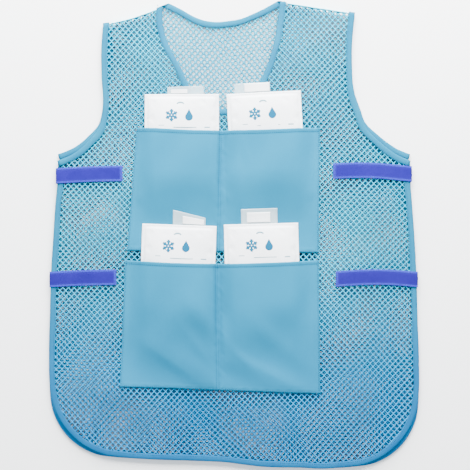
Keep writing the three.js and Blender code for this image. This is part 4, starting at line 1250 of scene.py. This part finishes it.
def pocket_upper(under, reach):
    to_edge = np.minimum(reach["side"], reach["bottom"])
    upper = under + POCKET_CLOTH + groove(reach["mouth"] - HEM_DEPTH + HEM_STEP)
    upper += HEM_PROUD * fall_off(reach["mouth"], HEM_DEPTH, HEM_STEP)
    upper += TURN_PROUD * fall_off(to_edge, HEM_DEPTH, HEM_STEP)
    upper += groove(to_edge - SIDE_STITCH_IN) * (1 + PUCKER * np.sin(reach["across"] / PUCKER_REACH))
    for offset, depth in SEAM_ROWS:
        pucker = 1 + PUCKER * np.sin(reach["bottom"] / PUCKER_REACH)
        upper += groove(reach["beside"] - offset, depth, SEAM_WIDTH) * pucker
    return upper


def grid_counts(pocket):
    return [int(pocket[key] / GRID_STEP) + 1 for key in ("width", "height")]


print("points across and along", {pocket["name"]: grid_counts(pocket) for pocket in POCKETS})

# %% Pocket pieces
STITCH_LIFT = 0.15
SEAM_SAMPLES = 120


def pocket_piece(pocket):
    u, v = grid((0, 1), (0, 1), grid_counts(pocket))
    places = pocket_places(pocket, u, v)
    reach = pocket_reach(pocket, u.ravel(), v.ravel())
    under = pocket_under(pocket, places.reshape(-1, 2), reach)
    upper = pocket_upper(under, reach)
    piece = new_piece(pocket["name"] + "_cloth", *sheet_mesh(places, under, upper), pocket_material)
    return piece, {"places": places, "upper": upper.reshape(u.shape)}


def on_pocket(surface, u, v):
    columns, rows = surface["upper"].shape
    i = np.clip(np.rint(u * (columns - 1)).astype(int), 0, columns - 1)
    j = np.clip(np.rint(v * (rows - 1)).astype(int), 0, rows - 1)
    return np.column_stack([surface["places"][i, j], surface["upper"][i, j] + STITCH_LIFT])


def pocket_stitches(pocket, surface):
    steps = np.linspace(0.01, 0.99, SEAM_SAMPLES)
    edge = SIDE_STITCH_IN / pocket["width"]
    seams = [0.5 + offset / pocket["width"] for offset, _ in SEAM_ROWS]
    levels = [1 - (HEM_DEPTH - HEM_STEP) / pocket["height"], SIDE_STITCH_IN / pocket["height"]]
    rows = [on_pocket(surface, np.full(SEAM_SAMPLES, share), steps) for share in seams]
    rows += [on_pocket(surface, steps, np.full(SEAM_SAMPLES, share)) for share in levels]
    return rows + [on_pocket(surface, np.full(SEAM_SAMPLES, share), steps) for share in (edge, 1 - edge)]


def cloth_top(surface, points):
    spots = surface["places"].reshape(-1, 2)
    gaps = ((points[:, None, :] - spots[None, :, :]) ** 2).sum(-1)
    near = gaps.min(axis=1) < (2 * GRID_STEP) ** 2
    return np.where(near, surface["upper"].ravel()[gaps.argmin(axis=1)], -np.inf)


pocket_cloths, pocket_seams, pocket_surfaces = [], [], []
for pocket in POCKETS:
    cloth, surface = pocket_piece(pocket)
    pocket_cloths.append(cloth)
    pocket_surfaces.append(surface)
    rows = pocket_stitches(pocket, surface)
    name = pocket["name"] + "_stitches"
    pocket_seams.append(sew(name, rows, thread_material, length=2.8, thickness=0.85))

# %% [markdown]
# ## Ice packs
# A pack is two sheets of white film welded round the edge, with gel between them. It is thickest in
# the middle and flat at the weld, and the film wrinkles where the flat weld meets the full middle.

# %% Pack shapes
PACK_GRID = (75, 101)
WELD_WIDTH = 4.0
WELD_STEP = 1.5
WRINKLE_HEIGHT = 0.45
WRINKLE_IN = 9.0
WRINKLE_REACH = 6.0
WRINKLE_WAVES = ((2.9, 0.7, 5.0), (3.3, 0.8, 6.0))  # reach, bend, reach of the bend


def pack_top(pack, points):
    return front_level(points) + PACK_REST + pack_thickness(pack, points, 0)


def pack_piece(pack):
    u, v = grid((-1, 1), (-1, 1), PACK_GRID)
    places = pack_place(pack, u * PACK_WIDTH / 2, v * PACK_HEIGHT / 2)
    flat = places.reshape(-1, 2)
    under = front_level(flat) + PACK_REST
    x, y = (u * PACK_WIDTH / 2).ravel(), (v * PACK_HEIGHT / 2).ravel()
    to_edge = np.minimum(PACK_WIDTH / 2 - np.abs(x), PACK_HEIGHT / 2 - np.abs(y))
    near = bell(to_edge - WRINKLE_IN, WRINKLE_REACH)
    waves = bent_wave(x, y, *WRINKLE_WAVES[0]) + bent_wave(y, x, *WRINKLE_WAVES[1])
    full = pack_thickness(pack, flat, 0) + np.minimum(WRINKLE_HEIGHT * near * waves, 0)
    upper = under + lerp(full, PACK_RIM, fall_off(to_edge, WELD_WIDTH, WELD_STEP))
    return new_piece(pack["name"] + "_pack", *sheet_mesh(places, under, upper), pack_material)


packs = [pack_piece(pack) for pack in PACKS]
print("packs", [piece.name for piece in packs])

# %% [markdown]
# ## Print on the packs
# The real packs carry a mark in two blue figures. It isn't copied: a snowflake and a drop, the plain
# signs for cold and water, stand in its place. Each stroke is a thin closed block that follows the
# film, because a print that is its own piece stays sharp close up.

# %% Strokes of the print
PRINT_PROUD = 0.12
PRINT_DEPTH = 0.5
ICON_REACH = 9.4
HUB_REACH = 0.9
ARM_WIDTH = 3.0
TWIG_WIDTH = 2.3
TWIG_TURN = 0.9
TWIG_START = 0.52
TWIG_REACH = 0.36
BOWL_RADIUS = 0.62
BOWL_DROP = 0.25
BOWL_TURN = (0.75 * math.pi, 2.25 * math.pi)
BOWL_POINTS = 17


def ray(angle):
    return np.array([math.cos(angle), math.sin(angle)])


def stroke(start, end, width):
    start, end = np.array(start, dtype=float), np.array(end, dtype=float)
    along = (end - start) / np.linalg.norm(end - start)
    aside = np.array([-along[1], along[0]]) * width / 2
    return np.array([start - aside, end - aside, end + aside, start + aside])


def snowflake(centre):
    strokes = []
    for arm in range(6):
        angle = arm * math.pi / 3 + math.pi / 2
        strokes.append(stroke(centre + ray(angle) * HUB_REACH, centre + ray(angle) * ICON_REACH, ARM_WIDTH))
        base = centre + ray(angle) * ICON_REACH * TWIG_START
        for lean in (-TWIG_TURN, TWIG_TURN):
            strokes.append(stroke(base, base + ray(angle + lean) * ICON_REACH * TWIG_REACH, TWIG_WIDTH))
    return strokes


def drop(centre):
    bowl = [ray(angle) for angle in np.linspace(*BOWL_TURN, BOWL_POINTS)]
    bowl = centre + np.array(bowl) * ICON_REACH * BOWL_RADIUS - [0, ICON_REACH * BOWL_DROP]
    return [np.vstack([bowl, centre + [0, ICON_REACH]])]


def arc(centre, radius, start, end, width, count=9):
    dots = [centre + ray(angle) * radius for angle in np.radians(np.linspace(start, end, count))]
    return [stroke(a, b, width) for a, b in zip(dots, dots[1:])]


def print_piece(pack, name, strokes, material):
    parts = []
    for outline in strokes:
        places = pack_place(pack, outline[:, 0], outline[:, 1])
        top = pack_top(pack, places)
        parts.append(block_mesh(places, top - PRINT_DEPTH, top + PRINT_PROUD))
    return new_piece(f"{pack['name']}_{name}", *joined(parts), material, smooth=False)


ICON_LINE = PACK_HEIGHT / 2 - 32.0
FLAKE_ACROSS = -15.0
DROP_ACROSS = 11.0
ARC_CENTRE = np.array([-2.0, ICON_LINE + 12.0])
ARC_SHAPE = (7.5, 45, 135, 1.8)  # radius, from and to in degrees, width
FAINT_LINES = [  # start, end, down from the signs, width
    (-34, -26, 15, 0.9), (-12, 22, 18, 0.9), (34, 42, 18, 1.6),
]
signs = snowflake(np.array([FLAKE_ACROSS, ICON_LINE])) + drop(np.array([DROP_ACROSS, ICON_LINE]))
faint = arc(ARC_CENTRE, *ARC_SHAPE)
for start, end, down, width in FAINT_LINES:
    faint.append(stroke((start, ICON_LINE - down), (end, ICON_LINE - down), width))
prints = []
for pack in PACKS:
    prints.append(print_piece(pack, "cold_signs", signs, print_material))
    prints.append(print_piece(pack, "faint_signs", faint, faint_print_material))
print("prints", len(prints), "with", len(signs) + len(faint), "strokes a pack")

# %% [markdown]
# ## Filler sleeves
# Each pack is filled through a flat sleeve of clear film that stays on it, with a white panel. The
# film is thin and see-through, so it is a sheet with a low alpha, and the panel lies on it.

# %% Sleeve pieces
LABELS = [  # start and end of the white panel, as shares of the sleeve's width, and its height
    (0.1, 0.55, 0.6), (0.28, 0.98, 0.95), (0.3, 0.95, 0.7), (0.16, 0.8, 0.75),
]
SLEEVE_LAYERS = {"sleeve": (0.1, 0.4), "sleeve_panel": (0.55, 0.3)}  # how high it lies, how thick
LABEL_START = 0.08
SLEEVE_GRID = (25, 13)
SLEEVE_WAVE = 0.5
SLEEVE_WAVES = 7.0
SLEEVE_CURL = 0.6


def sleeve_places(pack, u, v):
    shift, width_share, height_share, turn = pack["sleeve"]
    across = (u - 0.5) * width_share * PACK_WIDTH
    tilt = math.tan(math.radians(turn - pack["turn"]))
    rise = v * (height_share * PACK_WIDTH + across * tilt) + LAYER_GAP
    return pack_place(pack, shift * PACK_WIDTH + across, PACK_HEIGHT / 2 + rise)


def sleeve_layer(pack, name, across, along, material):
    u, v = grid(across, along, SLEEVE_GRID)
    spots = sleeve_places(pack, u, v)
    flat, share = spots.reshape(-1, 2), v.ravel()
    curl = SLEEVE_WAVE * np.sin(u.ravel() * SLEEVE_WAVES) * share + SLEEVE_CURL * share**2
    bed = np.maximum(front_level(flat) + PACK_REST, cloth_top(pocket_surfaces[0], flat) + LAYER_GAP)
    low, thick = SLEEVE_LAYERS[name]
    under = bed + low + curl
    return new_piece(f"{pack['name']}_{name}", *sheet_mesh(spots, under, under + thick), material)


sleeves = []
for pack, (start, end, height) in zip(PACKS, LABELS):
    film = sleeve_layer(pack, "sleeve", (0, 1), (0, 1), sleeve_material)
    panel = sleeve_layer(pack, "sleeve_panel", (start, end), (LABEL_START, height), label_material)
    sleeves.append((film, panel))
print("sleeves", [film.name for film, panel in sleeves])

# %% [markdown]
# ## Side straps
# The sides of the vest are open. Each strap is hook-and-loop tape: it starts on the outer face of
# the back, turns round the open side and sticks to the front. Its border is flat and lighter, its
# middle a pile of loops.

# %% Path of a strap
STRAP_BACK_LENGTH = 50.0
STRAP_FRONT_LENGTH = 100.0
STRAP_SPACING = 158.0
UPPER_STRAP_DROP = 260.0
STRAP_BACK_STEPS = 16
STRAP_NEAR_EDGE = (0.6, 13.0, 8)  # from, to, count of points
STRAP_STEP = 3.0
STRAP_RAMP = 6.0
STRAP_CORNER = 0.9
STRAP_BEVEL = 0.25
STRAPS = [  # name, side, row, sag, reach, slope, bow
    ("upper_left", -1, 0, 0.12, 0.99, 0.15, 0.03),
    ("upper_right", 1, 0, 0, 1.17, 0.18, 0.13),
    ("lower_left", -1, 1, 0, 0.99, 0.15, 0.03),
    ("lower_right", 1, 1, 0, 1.22, 0.04, 0.14),
]


def side_edge(side, along):
    run = RUNS["back"]["edge"]
    run = run[run[:, 0] * side > 0]
    order = np.argsort(run[:, 1])
    return float(np.interp(along, run[order, 1], run[order, 0]))


def strap_line(side, row, sag, reach):
    middle = VEST_LENGTH / 2 - UPPER_STRAP_DROP - row * STRAP_SPACING - sag * STRAP_WIDTH
    spread = middle + np.array([-0.5, 0, 0.5]) * STRAP_WIDTH
    out = max(side * side_edge(side, along) for along in spread)
    half = STRAP_THICKNESS / 2
    further = np.linspace(STRAP_NEAR_EDGE[1] + STRAP_STEP, reach, int(reach / STRAP_STEP))
    insets = np.concatenate([np.linspace(*STRAP_NEAR_EDGE), further])
    spots = np.column_stack([side * (out - np.repeat(insets, 3)), np.tile(spread, len(insets))])
    on_tape = fall_off(insets, TAPE_WIDTH + 1, STRAP_RAMP)
    rest = lerp(CLOTH_REST + half, TAPE_HALF + 2 * LAYER_GAP + half, on_tape)
    heights = front_level(spots).reshape(-1, 3).max(axis=1) + rest
    turn_x, low, high = -LAYER_GAP - half, half, heights[0]
    bend = [(turn_x + STRAP_CORNER, low), (turn_x + STRAP_BEVEL, low + STRAP_BEVEL)]
    bend += [(turn_x, low + STRAP_CORNER), (turn_x, high - STRAP_CORNER)]
    bend += [(turn_x + STRAP_BEVEL, high - STRAP_BEVEL)]
    back = [(inset, low) for inset in np.linspace(STRAP_BACK_LENGTH, 4, STRAP_BACK_STEPS)]
    line = np.array(back + bend + list(zip(insets, heights)))
    return middle, out, line, len(back) + len(bend)


print("a strap's path has", len(strap_line(1, 0, 0, STRAP_FRONT_LENGTH)[2]), "points")

# %% Strap pieces
STRAP_HALF_SECTION = np.array([  # share of the half width, share of the thickness
    (0, 1), (0.25, 1), (0.5, 1), (0.75, 0.72), (0.8, 0.72), (0.9, 1), (0.97, 0.7), (1, 0.7),
])
STRAP_SECTION = np.vstack([STRAP_HALF_SECTION[:0:-1] * [-1, 1], STRAP_HALF_SECTION])
STRAP_COLUMNS = STRAP_SECTION[:, 0]
BORDER_COLUMN = 3
SELVEDGE = 2.6
SELVEDGE_BLUR = 1.2
STITCH_ABOVE = 0.1


def strap_rings(line, side, middle, out, climb):
    path = np.column_stack([side * (out - line[:, 0]), line[:, 1]])
    steps = inward_steps(path)
    steps /= np.linalg.norm(steps, axis=1)[:, None]
    edge = STRAP_SECTION[:, 1] * STRAP_THICKNESS / 2
    rings = []
    for (x, z), (nx, nz), rise in zip(path, steps * side, climb):
        y = middle + rise + STRAP_COLUMNS * STRAP_WIDTH / 2
        outer = np.column_stack([x - nx * edge, y, z - nz * edge])
        inner = np.column_stack([x + nx * edge, y, z + nz * edge])
        rings.append(np.vstack([outer, inner[::-1]]))
    return path, np.array(rings)


def selvedge_mask(path):
    across = np.concatenate([STRAP_COLUMNS, STRAP_COLUMNS[::-1]])
    travelled = distance_along(path)
    to_side = (1 - np.abs(across)) * STRAP_WIDTH / 2
    to_end = np.minimum(travelled, travelled[-1] - travelled)
    to_border = np.minimum(to_side[None, :], to_end[:, None])
    return fall_off(to_border, SELVEDGE - SELVEDGE_BLUR / 2, SELVEDGE_BLUR).ravel()


def strap_piece(name, side, row, sag, reach_share, slope, bow):
    reach = reach_share * STRAP_FRONT_LENGTH
    middle, out, line, first_front = strap_line(side, row, sag, reach)
    share = np.clip(line[:, 0] / reach, 0, 1)
    climb = STRAP_WIDTH * (slope * share + bow * np.sin(math.pi * share))
    climb[:first_front] = 0
    path, rings = strap_rings(line, side, middle, out, climb)
    piece = new_piece(name + "_tape", *swept_mesh(rings), strap_tape)
    point_mask(piece, "selvedge", selvedge_mask(path))
    front = rings[first_front:, : len(STRAP_COLUMNS)] + [0, 0, STITCH_ABOVE]
    end = front[-1, BORDER_COLUMN:-BORDER_COLUMN] + [side * SELVEDGE, 0, 0]
    return piece, [front[:, BORDER_COLUMN], front[:, -1 - BORDER_COLUMN], end]


strap_pieces, strap_rows = [], []
for row in STRAPS:
    piece, stitches = strap_piece(row[0] + "_strap", *row[1:])
    strap_pieces.append(piece)
    strap_rows += stitches
strap_seams = sew("strap_stitches", strap_rows, strap_thread_material, pitch=2.6, length=1.9, thickness=0.6)

# %% [markdown]
# ## Join the frame
# Each piece now says which solid it stands for and how it moves. Nothing on a vest turns on a hinge,
# so all of it rides on the one body.

# %% Frame calls
def settle(piece, slot, *nodes):
    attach(piece, "root")
    if nodes:
        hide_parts(*nodes)


settle(front_net, "net_cloth", "front_panel")
settle(back_net, "net_cloth", "back_panel")
settle(neck_tape, "edge_tape", "neck_binding")
settle(armhole_tapes[-1], "edge_tape", "left_armhole_binding")
settle(armhole_tapes[1], "edge_tape", "right_armhole_binding")
settle(front_edge_tape, "edge_tape", "front_edge_binding")
settle(back_edge_tape, "edge_tape", "back_edge_binding")
settle(tape_seams, "edge_tape")
for cloth, seams, pocket in zip(pocket_cloths, pocket_seams, POCKETS):
    settle(cloth, "pocket_cloth", pocket["name"])
    settle(seams, "pocket_cloth")
for piece, pack in zip(packs, PACKS):
    settle(piece, "pack_film", pack["name"] + "_ice_pack")
for piece in prints:
    settle(piece, "pack_film")
for (film, panel), pack in zip(sleeves, PACKS):
    settle(film, "sleeve_film", pack["name"] + "_filler_sleeve")
    settle(panel, "sleeve_film")
for piece, row in zip(strap_pieces, STRAPS):
    settle(piece, "strap_tape", row[0] + "_strap")
settle(strap_seams, "strap_tape")

# %% [markdown]
# ## Floor, light and camera
# The vest was photographed from straight above on white, in soft light that is strongest beyond the
# neck. A large lamp there gives the same fall of light down the net, a weak one at the hem opens the
# shadows, and a pale blue room fills the rest.

# %% Stage
FLOOR_REACH = 8.0
FLOOR_WHITE = (0.97, 0.97, 0.97)
ROOM_BLUE = (0.74, 0.88, 1.0, 1)
ROOM_STRENGTH = 0.8
LAMP_SIDE = 1.7
LAMPS = [  # name, place, watts
    ("neck_lamp", (0.05, 1.45, 0.85), 320),
    ("hem_lamp", (-0.1, -1.5, 1.3), 25),
]


def stage_floor():
    material, _, shader = new_material("floor_paper", 0.9)
    shader.inputs["Base Color"].default_value = (*FLOOR_WHITE, 1)
    mesh = bpy.data.meshes.new("floor")
    corners = [(x * FLOOR_REACH, y * FLOOR_REACH, 0) for x, y in ((-1, -1), (1, -1), (1, 1), (-1, 1))]
    mesh.from_pydata(corners, [], [(0, 1, 2, 3)])
    mesh.materials.append(material)
    floor = new_object("floor", mesh)


def lamp(name, place, watts):
    data = bpy.data.lights.new(name, "AREA")
    data.shape = "SQUARE"
    data.size = LAMP_SIDE
    data.energy = watts
    light = new_object(name, data)
    light.location = place
    x, y, z = place
    light.rotation_euler = (math.atan2(math.hypot(x, y), z), 0, math.atan2(-x, y) + math.pi)


stage_floor()
for row in LAMPS:
    lamp(*row)
world = bpy.data.worlds.new("room")
bpy.context.scene.world = world
world.use_nodes = True
world.node_tree.nodes["Background"].inputs["Color"].default_value = ROOM_BLUE
world.node_tree.nodes["Background"].inputs["Strength"].default_value = ROOM_STRENGTH
print("lamps", [name for name, _, _ in LAMPS])

# %% Camera
PHOTO_SCALE = 1.5
PHOTO_SIDE = 470
LENS = 85.0
SENSOR = 36.0
CAMERA_PLACE = (0.0015, -0.0004)
camera_data = bpy.data.cameras.new("camera")
camera_data.lens = LENS
camera_data.sensor_width = SENSOR
camera = new_object("camera", camera_data)
view_width = PHOTO_SCALE * PHOTO_SIDE * MM
camera.location = (*CAMERA_PLACE, view_width * LENS / SENSOR + FRONT_EDGE_LEVEL * MM)
bpy.context.scene.camera = camera
print("camera", round(camera.location.z, 3), "m up")

# %% Finish
bpy.context.view_layer.update()
